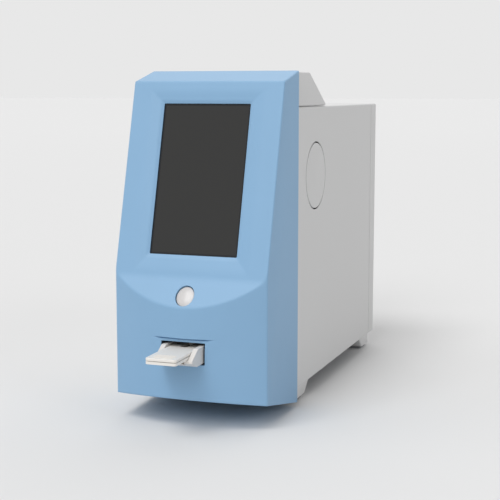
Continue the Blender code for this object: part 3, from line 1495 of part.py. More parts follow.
def make_rear_cap(datum):
    """Rear cap whose flanges continue the body's sides, with a tongue that slips inside the cover."""
    start = cap_front()
    bm = new_mesh()
    outer = [(HALF_BODY, BODY_BOTTOM)] + body_section() + [(-HALF_BODY, BODY_BOTTOM)]
    prism(bm, outer, Y, start, BODY_DEPTH)
    cap = solid("rear_cap", bm, PAINT, datum)
    bm = new_mesh()
    half = HALF_BODY - CAP_WALL
    low = BODY_BOTTOM + CAP_WALL
    inner = [(half, low)] + body_section(CAP_WALL) + [(-half, low)]
    prism(bm, inner, Y, start - OVERRUN, BODY_DEPTH - CAP_WALL)
    cut(cap, bm, datum)

    tongue = SHEET + SEAT
    deep = tongue + CAP_TONGUE_WALL
    foot = BODY_BOTTOM + CHASSIS_FLANGE + SEAT
    bm = new_mesh()
    outer = [(HALF_BODY - tongue, foot)] + body_section(tongue) + [(tongue - HALF_BODY, foot)]
    inner = [(HALF_BODY - deep, foot)] + body_section(deep) + [(deep - HALF_BODY, foot)]
    prism(bm, outer + list(reversed(inner)), Y, start - CAP_TONGUE, start + CAP_WALL)
    fuse(cap, bm, datum)
    bm = new_mesh()
    add_io_posts(bm)
    fuse(cap, bm, datum)
    cut_rear_openings(cap, datum)


def cut_rear_openings(cap, datum):
    inner = BODY_DEPTH - CAP_WALL - OVERRUN
    outer = BODY_DEPTH + OVERRUN
    bm = new_mesh()
    for k in range(VENT_COUNT):
        centre = (0, VENT_BOTTOM + k * VENT_PITCH)
        prism(bm, rounded(VENT_WIDTH, VENT_TALL, VENT_TALL / 2.2, 3, centre), Y, inner, outer)
    prism(bm, inlet_outline(INLET_WIDTH + 2 * SEAT, INLET_TALL + 2 * SEAT, INLET_CHAMFER), Y, inner, outer)
    width = ROCKER_WIDTH + 2 * SEAT
    tall = ROCKER_TALL + 2 * SEAT
    prism(bm, rounded(width, tall, SEAT, 1, (INLET_CENTRE, ROCKER_HEIGHT)), Y, inner, outer)
    for _, (width, tall, height, _) in PORTS.items():
        outline = rounded(width + 2 * PORT_FIT, tall + 2 * PORT_FIT, PORT_FIT, 1, (IO_CENTRE, height))
        prism(bm, outline, Y, inner, outer)
    cut(cap, bm, datum)


def make_hood(datum):
    """Hood behind the bezel's top, over the printer, with the paper exit in its sloping rear."""
    low = BODY_TOP + HOOD_SEAM
    start = cover_front()
    side = [(start, low), (start, HOOD_TOP), (HOOD_CREST, HOOD_TOP), (HOOD_LENGTH, low)]
    bm = new_mesh()
    prism(bm, side, X, -HALF_BODY, HALF_BODY)
    hood = solid("printer_hood", bm, PAINT, datum)
    soften(hood, HOOD_EDGE, 2, math.radians(20))
    slope = math.atan2(HOOD_TOP - low, HOOD_LENGTH - HOOD_CREST)
    back = HOOD_WALL / math.sin(slope)
    lean = HOOD_WALL * math.tan(slope / 2)
    run = (HOOD_TOP - low + OVERRUN) / math.tan(slope)
    bm = new_mesh()
    inside = [
        (start + HOOD_WALL, low - OVERRUN),
        (start + HOOD_WALL, HOOD_TOP - HOOD_WALL),
        (HOOD_CREST - lean, HOOD_TOP - HOOD_WALL),
        (HOOD_CREST + run - back, low - OVERRUN),
    ]
    prism(bm, inside, X, -HALF_BODY + HOOD_WALL, HALF_BODY - HOOD_WALL)
    cut(hood, bm, datum)

    half = HATCH_WIDTH / 2 - SEAT
    near = HATCH_FRONT + SEAT
    far = HATCH_REAR - SEAT
    rim = low + HOOD_WALL
    lip = BODY_TOP + SEAT
    inset = HOOD_LIP_INSET
    end = HOOD_LENGTH - inset
    bm = new_mesh()
    floor = [
        (start + inset, lip), (end, lip), (end, low + BITE / 4),
        (end - (rim - low) / math.tan(slope) - inset, rim), (start + inset, rim),
    ]
    prism(bm, floor, X, inset - HALF_BODY, HALF_BODY - inset)
    fuse(hood, bm, datum)
    bm = new_mesh()
    block(bm, (-half, near, low - HOOD_SEAM - HOOD_TONGUE_DROP), (half, far, low + BITE))
    fuse(hood, bm, datum)
    bm = new_mesh()
    wall = HOOD_TONGUE_WALL
    block(
        bm,
        (-half + wall, near + wall, low - HOOD_SEAM - HOOD_TONGUE_DROP - OVERRUN),
        (half - wall, far - wall, rim + SEAT),
    )
    cut(hood, bm, datum)

    mouth = empty("paper_exit", datum, exit_place(), slope - math.pi / 2)
    mouth.rotation_euler = (-(math.pi / 2 - slope), 0, 0)
    bm = new_mesh()
    tall = EXIT_SLOT
    prism(bm, rounded(EXIT_WIDTH, tall, tall / 2.2, 3), Y, -HOOD_WALL * 2, HOOD_WALL * 2)
    cut(hood, bm, mouth)


def exit_place():
    """Middle of the paper exit on the hood's slope."""
    low = BODY_TOP + HOOD_SEAM
    depth = HOOD_CREST + (HOOD_LENGTH - HOOD_CREST) * EXIT_SHARE
    height = HOOD_TOP - (HOOD_TOP - low) * EXIT_SHARE
    return (0, depth, height)


# Printer and paper
def make_printer(datum):
    low = PRINTER_BOTTOM
    rear = PRINTER_FRONT + PRINTER_LENGTH
    half = PRINTER_WIDTH / 2
    bm = new_mesh()
    block(bm, (-half, PRINTER_FRONT, low), (half, rear, low + PRINTER_HEIGHT))
    printer = solid("printer_mechanism", bm, BLACK, datum)
    well = half - PRINTER_CHEEK
    bm = new_mesh()
    pivot_z = low + PRINTER_HEIGHT - PLATEN_RISE
    trough = PLATEN_RADIUS + PLATEN_CLEAR
    roof = low + PRINTER_HEIGHT + OVERRUN
    block(
        bm,
        (-well, PLATEN_DEPTH - trough, low + PRINTER_FLOOR),
        (well, PLATEN_DEPTH + trough, roof),
    )
    cut(printer, bm, datum)
    bm = new_mesh()
    bearing = PLATEN_AXLE_RADIUS + PLATEN_FIT
    rod(bm, (-half - OVERRUN, PLATEN_DEPTH, pivot_z), bearing, PRINTER_WIDTH + 2 * OVERRUN, X, 32)
    slot = PLATEN_AXLE_RADIUS * 4 / 5
    block(
        bm,
        (-half - OVERRUN * 2, PLATEN_DEPTH - slot, pivot_z + PLATEN_AXLE_RADIUS * 3),
        (half + OVERRUN * 2, PLATEN_DEPTH + slot, roof + OVERRUN),
    )
    cut(printer, bm, datum)

    bm = new_mesh()
    body = PLATEN_LENGTH / 2
    tip = body + PLATEN_AXLE_LENGTH
    profile = [
        (0.0, -tip), (PLATEN_AXLE_RADIUS, -tip), (PLATEN_AXLE_RADIUS, -body), (PLATEN_RADIUS, -body),
        (PLATEN_RADIUS, body), (PLATEN_AXLE_RADIUS, body), (PLATEN_AXLE_RADIUS, tip), (0.0, tip),
    ]
    turned(bm, profile, X, segments=24)
    solid("platen_roller", bm, RUBBER, datum, (0, PLATEN_DEPTH, pivot_z))
    make_shelf(datum)


def make_shelf(datum):
    """Folded shelf from the front frame that carries the printer over the paper bay."""
    top = PRINTER_BOTTOM - SEAT
    low = top - SHELF_SHEET
    half = PRINTER_WIDTH / 2 + PRINTER_CHEEK
    rear = PRINTER_FRONT + PRINTER_LENGTH
    start = FRAME_DEPTH + FRAME_SHEET + SEAT
    bm = new_mesh()
    outline = [
        (start, top), (rear, top), (rear, low), (start + SHELF_SHEET, low),
        (start + SHELF_SHEET, low - PRINTER_HEIGHT / 3), (start, low - PRINTER_HEIGHT / 3),
    ]
    prism(bm, outline, X, -half, half)
    shelf = solid("printer_shelf", bm, ZINC, datum)
    bm = new_mesh()
    block(
        bm,
        (-half + PRINTER_CHEEK * 2, PLATEN_DEPTH - PLATEN_RADIUS, low - OVERRUN),
        (half - PRINTER_CHEEK * 2, PLATEN_DEPTH + PLATEN_RADIUS, top + OVERRUN),
    )
    cut(shelf, bm, datum)


def make_paper(datum):
    """Round cover flush with the side, its spindle, the roll on it and the bay behind it."""
    place = (HALF_BODY, ROLL_DEPTH, ROLL_HEIGHT)
    plug = COVER_RADIUS - SEAT
    bm = new_mesh()
    profile = [
        (0.0, 0.0), (COVER_RADIUS, 0.0), (COVER_RADIUS, -COVER_PLATE), (plug, -COVER_PLATE),
        (plug, -COVER_PLUG_DEPTH), (plug - COVER_PLUG_WALL, -COVER_PLUG_DEPTH),
        (plug - COVER_PLUG_WALL, -COVER_PLATE), (COVER_SOCKET_RADIUS, -COVER_PLATE),
        (COVER_SOCKET_RADIUS, -COVER_PLUG_DEPTH), (SPINDLE_RADIUS + SEAT, -COVER_PLUG_DEPTH),
        (SPINDLE_RADIUS + SEAT, -COVER_PLATE), (0.0, -COVER_PLATE),
    ]
    turned(bm, profile, X, segments=48)
    cover = solid("paper_cover", bm, PAINT, datum, place)
    bm = new_mesh()
    notch = -COVER_RADIUS + NOTCH_RISE
    outline = [(-NOTCH_WIDTH / 2, -COVER_RADIUS - OVERRUN), (NOTCH_WIDTH / 2, -COVER_RADIUS - OVERRUN)]
    outline += [(NOTCH_WIDTH / 2, notch - NOTCH_RISE / 2), (NOTCH_WIDTH / 3, notch)]
    outline += [(-NOTCH_WIDTH / 3, notch), (-NOTCH_WIDTH / 2, notch - NOTCH_RISE / 2)]
    prism(bm, outline, X, -NOTCH_DEPTH, OVERRUN)
    cut(cover, bm, datum, place)

    bm = new_mesh()
    start = -COVER_PLATE - SEAT
    rod(bm, (start - SPINDLE_LENGTH, 0, 0), SPINDLE_RADIUS, SPINDLE_LENGTH, X)
    spindle = solid("paper_spindle", bm, ACETAL, datum, place)
    soften(spindle, SEAT)

    bm = new_mesh()
    end = -COVER_PLUG_DEPTH - ROLL_FROM_COVER
    pipe(bm, (end - ROLL_WIDTH, 0, 0), ROLL_RADIUS, ROLL_BORE, ROLL_WIDTH, X, 40)
    solid("paper_roll", bm, PAPER, datum, place)
    make_bay(datum)


def bay_outer():
    return COVER_RADIUS + SEAT + BAY_WALL


def make_bay(datum):
    """Moulded tub round the roll, closed at its inner end, with feet against the front frame."""
    place = (SIDE_SKIN - SEAT, ROLL_DEPTH, ROLL_HEIGHT)
    outer = bay_outer()
    bm = new_mesh()
    rod(bm, (-BAY_LENGTH, 0, 0), outer, BAY_LENGTH, X, 48)
    bay = solid("paper_bay", bm, BLACK, datum, place)
    bm = new_mesh()
    rod(bm, (BAY_WALL - BAY_LENGTH, 0, 0), outer - BAY_WALL, BAY_LENGTH + OVERRUN, X, 48)
    cut(bay, bm, datum, place)
    reach = ROLL_DEPTH - FRAME_DEPTH - FRAME_SHEET - SEAT
    bm = new_mesh()
    for sign in (-1, 1):
        height = sign * (outer - BAY_FLANGE)
        low = (-BAY_LENGTH, -reach, height - BAY_WALL)
        block(bm, low, (-COVER_PLUG_DEPTH, -outer / 2, height + BAY_WALL))
    fuse(bay, bm, datum, place)
    bm = new_mesh()
    rod(bm, (BAY_WALL - BAY_LENGTH, 0, 0), outer - BAY_WALL, BAY_LENGTH - BAY_WALL + OVERRUN, X, 48)
    cut(bay, bm, datum, place)
    bm = new_mesh()
    middle = -COVER_PLUG_DEPTH - ROLL_FROM_COVER - ROLL_WIDTH / 2
    half = BAY_SLOT_WIDTH / 2
    depth = BAY_SLOT_LENGTH / 2
    block(bm, (middle - half, -depth, outer / 2), (middle + half, depth, outer + OVERRUN))
    cut(bay, bm, datum, place)


# Electronics
def make_electronics(datum):
    floor = BODY_BOTTOM + CHASSIS_SHEET + SEAT
    start = CARRIER_DEPTH
    end = CARRIER_DEPTH + CARRIER_LENGTH
    bm = new_mesh()
    outline = [
        (CARRIER_X, floor), (CARRIER_X + CARRIER_FOOT, floor),
        (CARRIER_X + CARRIER_FOOT, floor + CARRIER_SHEET),
        (CARRIER_X + CARRIER_SHEET, floor + CARRIER_SHEET),
        (CARRIER_X + CARRIER_SHEET, floor + CARRIER_HEIGHT), (CARRIER_X, floor + CARRIER_HEIGHT),
    ]
    prism(bm, outline, Y, start, end)
    carrier = solid("board_carrier", bm, ZINC, datum)
    middle_y = (start + end) / 2
    middle_z = floor + MAIN_BOARD_LIFT + MAIN_BOARD_HEIGHT / 2
    bm = new_mesh()
    inset = STANDOFF_RADIUS * 2
    for sy in (-1, 1):
        for sz in (-1, 1):
            y = middle_y + sy * (MAIN_BOARD_LENGTH / 2 - inset)
            z = middle_z + sz * (MAIN_BOARD_HEIGHT / 2 - inset)
            begin = CARRIER_X + CARRIER_SHEET - BITE
            rod(bm, (begin, y, z), STANDOFF_RADIUS, STANDOFF_LENGTH + BITE, X, 12)
    fuse(carrier, bm, datum)
    make_main_board(datum, middle_y, middle_z)
    make_supply(datum, floor)
    make_io(datum)


def board_face_x():
    return CARRIER_X + CARRIER_SHEET + STANDOFF_LENGTH + SEAT + BOARD_THICKNESS


def make_main_board(datum, middle_y, middle_z):
    face = board_face_x()
    bm = new_mesh()
    slab(
        bm,
        (face - BOARD_THICKNESS / 2, middle_y, middle_z),
        (BOARD_THICKNESS, MAIN_BOARD_LENGTH, MAIN_BOARD_HEIGHT),
    )
    board = solid("main_board", bm, BOARD, datum)
    unit_y = MAIN_BOARD_LENGTH
    unit_z = MAIN_BOARD_HEIGHT
    parts = new_mesh()
    chip_shares = (
        # depth share, height share, length share, tall share, thickness in board thicknesses
        (0.05, 0.12, 0.22, 0.17, 1.0),
        (-0.24, 0.16, 0.12, 0.08, 0.8),
        (-0.24, -0.02, 0.12, 0.08, 0.8),
        (0.30, 0.10, 0.10, 0.14, 0.8),
        (0.05, -0.16, 0.16, 0.10, 1.2),
        (0.00, -0.44, 0.60, 0.05, 5.0),
        (0.42, -0.20, 0.08, 0.26, 5.0),
        (-0.40, -0.28, 0.08, 0.16, 4.0),
    )
    for share_y, share_z, long_share, tall_share, deep_share in chip_shares:
        thickness = deep_share * BOARD_THICKNESS
        slab(
            parts,
            (face + thickness / 2 - BITE / 2, middle_y + share_y * unit_y, middle_z + share_z * unit_z),
            (thickness + BITE, long_share * unit_y, tall_share * unit_z),
        )
    for k in range(4):
        rod(
            parts,
            (face - BITE, middle_y + (k / 10 - 1 / 4) * unit_y, middle_z + unit_z * CAPACITOR_SHARE),
            unit_y / 28,
            BOARD_THICKNESS * 6,
            X,
            14,
        )
    header_top = ribbon_height() + RIBBON_WIDTH / 2 + BOARD_THICKNESS
    header_low = ribbon_height() - RIBBON_WIDTH / 2 - BOARD_THICKNESS
    edge = middle_y - unit_y / 2
    block(
        parts,
        (face - BITE, edge, header_low),
        (face + header_depth(), edge + BOARD_THICKNESS * 4, header_top),
    )
    fuse(board, parts, datum)


def header_depth():
    return BOARD_THICKNESS * 5


def ribbon_height():
    """Height of the display ribbon's middle, level with the display board's lower headers."""
    return screen_point(0, 0, -DISPLAY_BOARD_HEIGHT / 4)[2]


def screen_point(side, inward, up):
    """A point of the screen's own frame, seen from the datum."""
    middle = OPENING_ABOVE_KNEE + OPENING_HEIGHT / 2
    c, s = math.cos(SCREEN_TILT), math.sin(SCREEN_TILT)
    depth = -KNEE_DEPTH + middle * s + inward * c + up * s
    height = KNEE_HEIGHT + middle * c - inward * s + up * c
    return (side, depth, height)


def make_ribbon(datum):
    """Flat cable from the display board's header back to the main board, standing on its edge."""
    chip = DISPLAY_BOARD_WIDTH / 4
    board_back = pan_back() + PAN_WALL + SEAT + BOARD_THICKNESS
    tip = screen_point(0, board_back + 2 * PAN_WALL, -DISPLAY_BOARD_HEIGHT / 4)
    lean = (RIBBON_WIDTH / 2 + PAN_WALL) * math.sin(SCREEN_TILT)
    start = tip[1] + lean + SEAT * 2
    end = CARRIER_DEPTH + (CARRIER_LENGTH - MAIN_BOARD_LENGTH) / 2 - SEAT
    near = -chip
    far = board_face_x() + header_depth() / 2
    middle = []
    for k in range(RIBBON_STEPS + 1):
        share = k / RIBBON_STEPS
        ease = share * share * (3 - 2 * share)
        middle.append((near + (far - near) * ease, start + (end - start) * share))
    half = RIBBON_THICKNESS / 2
    outline = [(x + half, y) for x, y in middle] + [(x - half, y) for x, y in reversed(middle)]
    bm = new_mesh()
    height = ribbon_height()
    prism(bm, outline, Z, height - RIBBON_WIDTH / 2, height + RIBBON_WIDTH / 2)
    solid("display_ribbon", bm, RIBBON, datum)


def make_supply(datum, floor):
    end = cap_front() - CAP_TONGUE - SEAT
    start = end - SUPPLY_LENGTH
    left = SUPPLY_CENTRE - SUPPLY_WIDTH / 2
    right = SUPPLY_CENTRE + SUPPLY_WIDTH / 2
    bm = new_mesh()
    block(bm, (left, start, floor), (right, end, floor + SUPPLY_HEIGHT))
    supply = solid("power_supply", bm, STEEL, datum)
    soften(supply, SEAT)
    bm = new_mesh()
    top = floor + SUPPLY_HEIGHT
    pitch = SUPPLY_LENGTH / (SUPPLY_SLOT_COUNT + 1)
    for k in range(SUPPLY_SLOT_COUNT):
        centre = (SUPPLY_CENTRE, start + pitch * (k + 1))
        outline = rounded(SUPPLY_WIDTH * 2 / 3, pitch / 3, pitch / 7, 2, centre)
        prism(bm, outline, Z, top - SUPPLY_SLOT_DEPTH, top + OVERRUN)
    cut(supply, bm, datum)


# Rear ports: full width, full height, centre height, look
PORTS = {
    "network_port": (16.0 * MM, 13.6 * MM, 112.0 * MM, STEEL),
    "usb_port_upper": (14.4 * MM, 7.2 * MM, 92.0 * MM, STEEL),
    "usb_port_lower": (14.4 * MM, 7.2 * MM, 78.0 * MM, STEEL),
    "serial_port": (30.6 * MM, 12.4 * MM, 52.0 * MM, STEEL),
}
PORT_SHELL = 0.9 * MM
PORT_WELL = 10.0 * MM
USB_TONGUE = 1.8 * MM
SERIAL_PIN_RADIUS = 0.6 * MM
SERIAL_PIN_PITCH = 2.8 * MM
SERIAL_ROW = 2.8 * MM
SERIAL_WELL_SHARE = 0.28


def io_board_rear():
    return BODY_DEPTH - CAP_WALL - PORT_BOARD_SETBACK


def add_io_posts(bm):
    """Posts from the rear wall that carry the port board."""
    front = io_board_rear() + SEAT
    length = BODY_DEPTH - CAP_WALL - front + BITE
    for sign in (-1, 1):
        z = IO_BOARD_BOTTOM + IO_BOARD_HEIGHT / 2 + sign * (IO_BOARD_HEIGHT / 2 - IO_POST_RADIUS * 3 / 2)
        for side in (-1, 1):
            x = IO_CENTRE + side * (IO_BOARD_WIDTH / 2 - IO_POST_RADIUS)
            rod(bm, (x, front, z), IO_POST_RADIUS, length, Y, 12)


def make_io(datum):
    rear = io_board_rear()
    bm = new_mesh()
    block(
        bm,
        (IO_CENTRE - IO_BOARD_WIDTH / 2, rear - BOARD_THICKNESS, IO_BOARD_BOTTOM),
        (IO_CENTRE + IO_BOARD_WIDTH / 2, rear, IO_BOARD_BOTTOM + IO_BOARD_HEIGHT),
    )
    solid("port_board", bm, BOARD, datum)
    mouth = BODY_DEPTH + PORT_PROUD
    for name, (width, tall, height, look) in PORTS.items():
        bm = new_mesh()
        slab(bm, (IO_CENTRE, (rear + SEAT + mouth) / 2, height), (width, mouth - rear - SEAT, tall))
        port = solid(name, bm, look, datum)
        bm = new_mesh()
        prism(bm, port_well(name, width, tall, height), Y, mouth - PORT_WELL, mouth + OVERRUN)
        cut(port, bm, datum)
        bm = new_mesh()
        add_port_contacts(bm, name, width, height, mouth)
        fuse(port, bm, datum)


def port_well(name, width, tall, height):
    """Opening of a port as (side, height)."""
    half = width / 2 - PORT_SHELL
    rise = tall / 2 - PORT_SHELL
    if name == "network_port":
        key = half / 3
        return [
            (IO_CENTRE + half, height + rise), (IO_CENTRE - half, height + rise),
            (IO_CENTRE - half, height - rise / 2), (IO_CENTRE - key * 2, height - rise / 2),
            (IO_CENTRE - key, height - rise), (IO_CENTRE + key, height - rise),
            (IO_CENTRE + key * 2, height - rise / 2), (IO_CENTRE + half, height - rise / 2),
        ]
    if name == "serial_port":
        lean = rise / 3
        half = width * SERIAL_WELL_SHARE
        return [
            (IO_CENTRE + half + lean, height + rise), (IO_CENTRE - half - lean, height + rise),
            (IO_CENTRE - half, height - rise), (IO_CENTRE + half, height - rise),
        ]
    return rounded(2 * half, 2 * rise, PORT_SHELL / 2, 1, (IO_CENTRE, height))


def add_port_contacts(bm, name, width, height, mouth):
    back = mouth - PORT_WELL - BITE
    if name.startswith("usb"):
        half = width / 2 - PORT_SHELL * 2
        low = height
        block(bm, (IO_CENTRE - half, back, low), (IO_CENTRE + half, mouth - USB_TONGUE, low + USB_TONGUE))
        return
    if name == "serial_port":
        for row, count in ((1, 5), (-1, 4)):
            for k in range(count):
                x = IO_CENTRE + (k - (count - 1) / 2) * SERIAL_PIN_PITCH
                centre = (x, back, height + row * SERIAL_ROW / 2)
                rod(bm, centre, SERIAL_PIN_RADIUS, PORT_WELL - USB_TONGUE, Y, 8)
        return
    step = width / 14
    for k in range(8):
        x = IO_CENTRE + (k - 7 / 2) * step
        slab(
            bm,
            (x, back + PORT_WELL / 3, height + width / 4),
            (step / 2, PORT_WELL * 2 / 3, PORT_SHELL),
        )


def inlet_outline(width, tall, chamfer):
    """Three-pin inlet as (side, height): a rectangle whose two lower corners are cut off."""
    half = width / 2
    rise = tall / 2
    x, z = INLET_CENTRE, INLET_HEIGHT
    return [
        (x + half, z + rise), (x - half, z + rise), (x - half, z - rise + chamfer),
        (x - half + chamfer, z - rise), (x + half - chamfer, z - rise), (x + half, z - rise + chamfer),
    ]


def make_inlet(datum):
    back = BODY_DEPTH + SEAT + INLET_FLANGE_THICKNESS - INLET_DEPTH
    mouth = BODY_DEPTH + SEAT + INLET_FLANGE_THICKNESS
    bm = new_mesh()
    prism(bm, inlet_outline(INLET_WIDTH, INLET_TALL, INLET_CHAMFER), Y, back, mouth)
    inlet = solid("mains_inlet", bm, BLACK, datum)
    bm = new_mesh()
    width = INLET_WIDTH + 2 * INLET_FLANGE
    tall = INLET_TALL + 2 * INLET_FLANGE
    flange = rounded(width, tall, INLET_FLANGE, 3, (INLET_CENTRE, INLET_HEIGHT))
    prism(bm, flange, Y, BODY_DEPTH + SEAT, mouth)
    fuse(inlet, bm, datum)
    bm = new_mesh()
    well = inlet_outline(INLET_WELL_WIDTH, INLET_WELL_TALL, INLET_WELL_CHAMFER)
    prism(bm, well, Y, mouth - INLET_WELL_DEPTH, mouth + OVERRUN)
    cut(inlet, bm, datum)
    bm = new_mesh()
    root = mouth - INLET_WELL_DEPTH - BITE
    for side, rise in ((-1, -1), (1, -1), (0, 1)):
        x = INLET_CENTRE + side * PIN_SPREAD
        z = INLET_HEIGHT + rise * PIN_OFFSET
        block(
            bm,
            (x - PIN_WIDTH / 2, root, z - PIN_TALL / 2),
            (x + PIN_WIDTH / 2, root + PIN_LENGTH, z + PIN_TALL / 2),
        )
    fuse(inlet, bm, datum)


def make_rocker(datum):
    """Snap-in switch: an open case with a flange, and the rocker in it, resting with its lower end in."""
    mouth = BODY_DEPTH + SEAT + ROCKER_FLANGE_THICKNESS
    back = mouth - ROCKER_BODY_DEPTH
    centre = (INLET_CENTRE, ROCKER_HEIGHT)
    bm = new_mesh()
    prism(bm, rounded(ROCKER_WIDTH, ROCKER_TALL, SEAT, 1, centre), Y, back, mouth)
    case = solid("rocker_case", bm, BLACK, datum)
    bm = new_mesh()
    width = ROCKER_WIDTH + 2 * ROCKER_FLANGE
    tall = ROCKER_TALL + 2 * ROCKER_FLANGE
    prism(bm, rounded(width, tall, ROCKER_FLANGE / 2, 2, centre), Y, BODY_DEPTH + SEAT, mouth)
    fuse(case, bm, datum)
    bm = new_mesh()
    width = ROCKER_WIDTH - 2 * ROCKER_WALL
    tall = ROCKER_TALL - 2 * ROCKER_WALL
    prism(bm, rounded(width, tall, SEAT, 1, centre), Y, back + ROCKER_WALL, mouth + OVERRUN)
    cut(case, bm, datum)
    half = ROCKER_WIDTH / 2 - ROCKER_WALL - SEAT
    bm = new_mesh()
    prism(bm, rocker_outline(), X, -half, half)
    rocker = solid("rocker", bm, RUBBER, datum, (INLET_CENTRE, ROCKER_PIVOT_Y, ROCKER_HEIGHT))
    rocker.rotation_euler = (ROCKER_SWING, 0, 0)


# Feet
def make_foot(name, datum, side, outer_y, inward):
    """A moulded foot: upright at its outer end, sloping at its inner end, with a rubber pad let into it."""
    top = BODY_BOTTOM - SEAT
    low = PAD_THICKNESS - FOOT_RECESS + SEAT
    outer_x = HALF_BODY - FOOT_INSET_SIDE
    outline = [
        (outer_y, top),
        (outer_y, low),
        (outer_y + inward * FOOT_LENGTH, low),
        (outer_y + inward * (FOOT_LENGTH + FOOT_FLARE), top),
    ]
    inner_x = outer_x - FOOT_WIDTH
    ends = sorted((side * outer_x, side * inner_x))
    bm = new_mesh()
    prism(bm, outline, X, *ends)
    foot = solid(f"foot_{name}", bm, PAINT, datum)
    soften(foot, FOOT_EDGE)
    middle = (side * (outer_x - FOOT_WIDTH / 2), outer_y + inward * FOOT_LENGTH / 2)
    width = FOOT_WIDTH - 2 * PAD_MARGIN
    length = FOOT_LENGTH - 2 * PAD_MARGIN
    bm = new_mesh()
    hollow = rounded(width + 2 * SEAT, length + 2 * SEAT, PAD_MARGIN, 3, middle)
    prism(bm, hollow, Z, low - OVERRUN, low + FOOT_RECESS)
    cut(foot, bm, datum)
    bm = new_mesh()
    prism(bm, rounded(width, length, PAD_MARGIN, 3, middle), Z, 0, PAD_THICKNESS)
    solid(f"pad_{name}", bm, RUBBER, datum)


def make_feet(datum):
    front = FOOT_INSET_FRONT
    rear = BODY_DEPTH - FOOT_INSET_REAR
    for label, side in (("left", -1), ("right", 1)):
        make_foot(f"front_{label}", datum, side, front, 1)
        make_foot(f"rear_{label}", datum, side, rear, -1)


def main():
    clear_scene()
    datum = empty("datum", location=(0, DATUM_Y, 0))
    screen = empty("screen_plane", datum, screen_point(0, 0, 0), -SCREEN_TILT)
    c, s = math.cos(CHIN_TILT), math.sin(CHIN_TILT)
    centre = (0, -KNEE_DEPTH - BUTTON_BELOW_KNEE * s, KNEE_HEIGHT - BUTTON_BELOW_KNEE * c)
    chin = empty("chin_plane", datum, centre, -CHIN_TILT)
    make_bezel(datum, screen, chin)
    make_display(screen)
    make_button(chin)
    make_cassette(datum)
    make_tray(datum)
    make_drive(datum)
    make_transport(datum)
    make_optics(datum)
    make_body(datum)
    make_printer(datum)
    make_paper(datum)
    make_electronics(datum)
    make_ribbon(datum)
    make_inlet(datum)
    make_rocker(datum)
    make_feet(datum)


main()
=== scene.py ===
# %% [markdown]
# # A bench-top fluorescence immunoassay analyzer
# The reader stands in a pale studio: a blue moulded bezel with a dark portrait screen, a light
# grey steel body, and a white tray that holds a test cassette out of its slot. The CAD model
# gives every solid its place and size. This script gives each surface its finish, models again
# the pieces whose soft edges the CAD leaves plain, and sets the camera and the light.

import math

import bmesh
import bpy
from mathutils import Matrix, Vector


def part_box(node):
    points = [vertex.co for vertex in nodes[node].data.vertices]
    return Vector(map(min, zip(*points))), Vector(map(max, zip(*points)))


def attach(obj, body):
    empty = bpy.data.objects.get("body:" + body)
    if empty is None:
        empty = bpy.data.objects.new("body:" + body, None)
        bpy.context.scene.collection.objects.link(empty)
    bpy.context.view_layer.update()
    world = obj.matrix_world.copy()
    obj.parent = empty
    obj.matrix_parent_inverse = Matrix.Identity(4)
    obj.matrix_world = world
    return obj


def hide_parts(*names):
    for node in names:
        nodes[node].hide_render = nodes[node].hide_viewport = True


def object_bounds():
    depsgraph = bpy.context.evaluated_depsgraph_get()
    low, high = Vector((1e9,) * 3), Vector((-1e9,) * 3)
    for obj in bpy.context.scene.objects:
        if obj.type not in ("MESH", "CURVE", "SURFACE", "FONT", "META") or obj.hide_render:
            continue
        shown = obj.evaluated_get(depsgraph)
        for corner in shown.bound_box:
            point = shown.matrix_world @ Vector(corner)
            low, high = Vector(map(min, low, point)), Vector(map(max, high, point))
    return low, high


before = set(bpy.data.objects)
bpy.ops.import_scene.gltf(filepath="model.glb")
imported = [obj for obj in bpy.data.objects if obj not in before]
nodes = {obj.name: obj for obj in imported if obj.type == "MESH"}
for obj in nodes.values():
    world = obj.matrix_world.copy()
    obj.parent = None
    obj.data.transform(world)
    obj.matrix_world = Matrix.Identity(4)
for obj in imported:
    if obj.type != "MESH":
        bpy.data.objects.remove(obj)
MM = 0.001
cad_low, cad_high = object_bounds()
cad_size = [round(side / MM, 1) for side in cad_high - cad_low]
print("CAD solids:", len(nodes), "box in mm:", cad_size)

# %% [markdown]
# ## The camera
# The photograph looks down a little from the right of the front. Its viewing angle could be
# guessed by eye. Here it was solved from the straight edges of the object, which also gives the
# lens: a long one, so the sides stay nearly parallel.

# %% Camera
CAMERA_TURN = math.radians(19.9)
CAMERA_DROP = math.radians(7.76)
CAMERA_PLACE = Vector((0.31578, -0.87595, 0.23523))
LENS_MM = 84.71
SENSOR_MM = 36


def make_camera():
    ahead = Vector((
        -math.sin(CAMERA_TURN) * math.cos(CAMERA_DROP),
        math.cos(CAMERA_TURN) * math.cos(CAMERA_DROP),
        -math.sin(CAMERA_DROP),
    ))
    aside = Vector((math.cos(CAMERA_TURN), math.sin(CAMERA_TURN), 0))
    turn = Matrix((aside, aside.cross(ahead), -ahead)).transposed().to_4x4()
    data = bpy.data.cameras.new("photo_camera")
    data.lens = LENS_MM
    data.sensor_width = SENSOR_MM
    camera = bpy.data.objects.new("photo_camera", data)
    camera.matrix_world = Matrix.Translation(CAMERA_PLACE) @ turn
    bpy.context.scene.collection.objects.link(camera)
    bpy.context.scene.camera = camera


make_camera()
print("Camera", round(math.degrees(CAMERA_TURN), 1), "degrees right, lens", LENS_MM, "mm")

# %% [markdown]
# ## Colours and shader nodes
# Colours are written as sRGB hex, as a paint chart gives them. Blender's shaders work in linear
# light, so one function converts them. A second function adds any shader node with its settings
# and its links, which keeps each finish readable as a short list.

# %% Colour and node helpers
def linear(colour):
    """sRGB hex to linear light, by the curve of the sRGB standard."""
    channels = [int(colour[i:i + 2], 16) / 255 for i in (1, 3, 5)]
    curve = [c / 12.92 if c <= 0.04045 else ((c + 0.055) / 1.055) ** 2.4 for c in channels]
    return (*curve, 1.0)


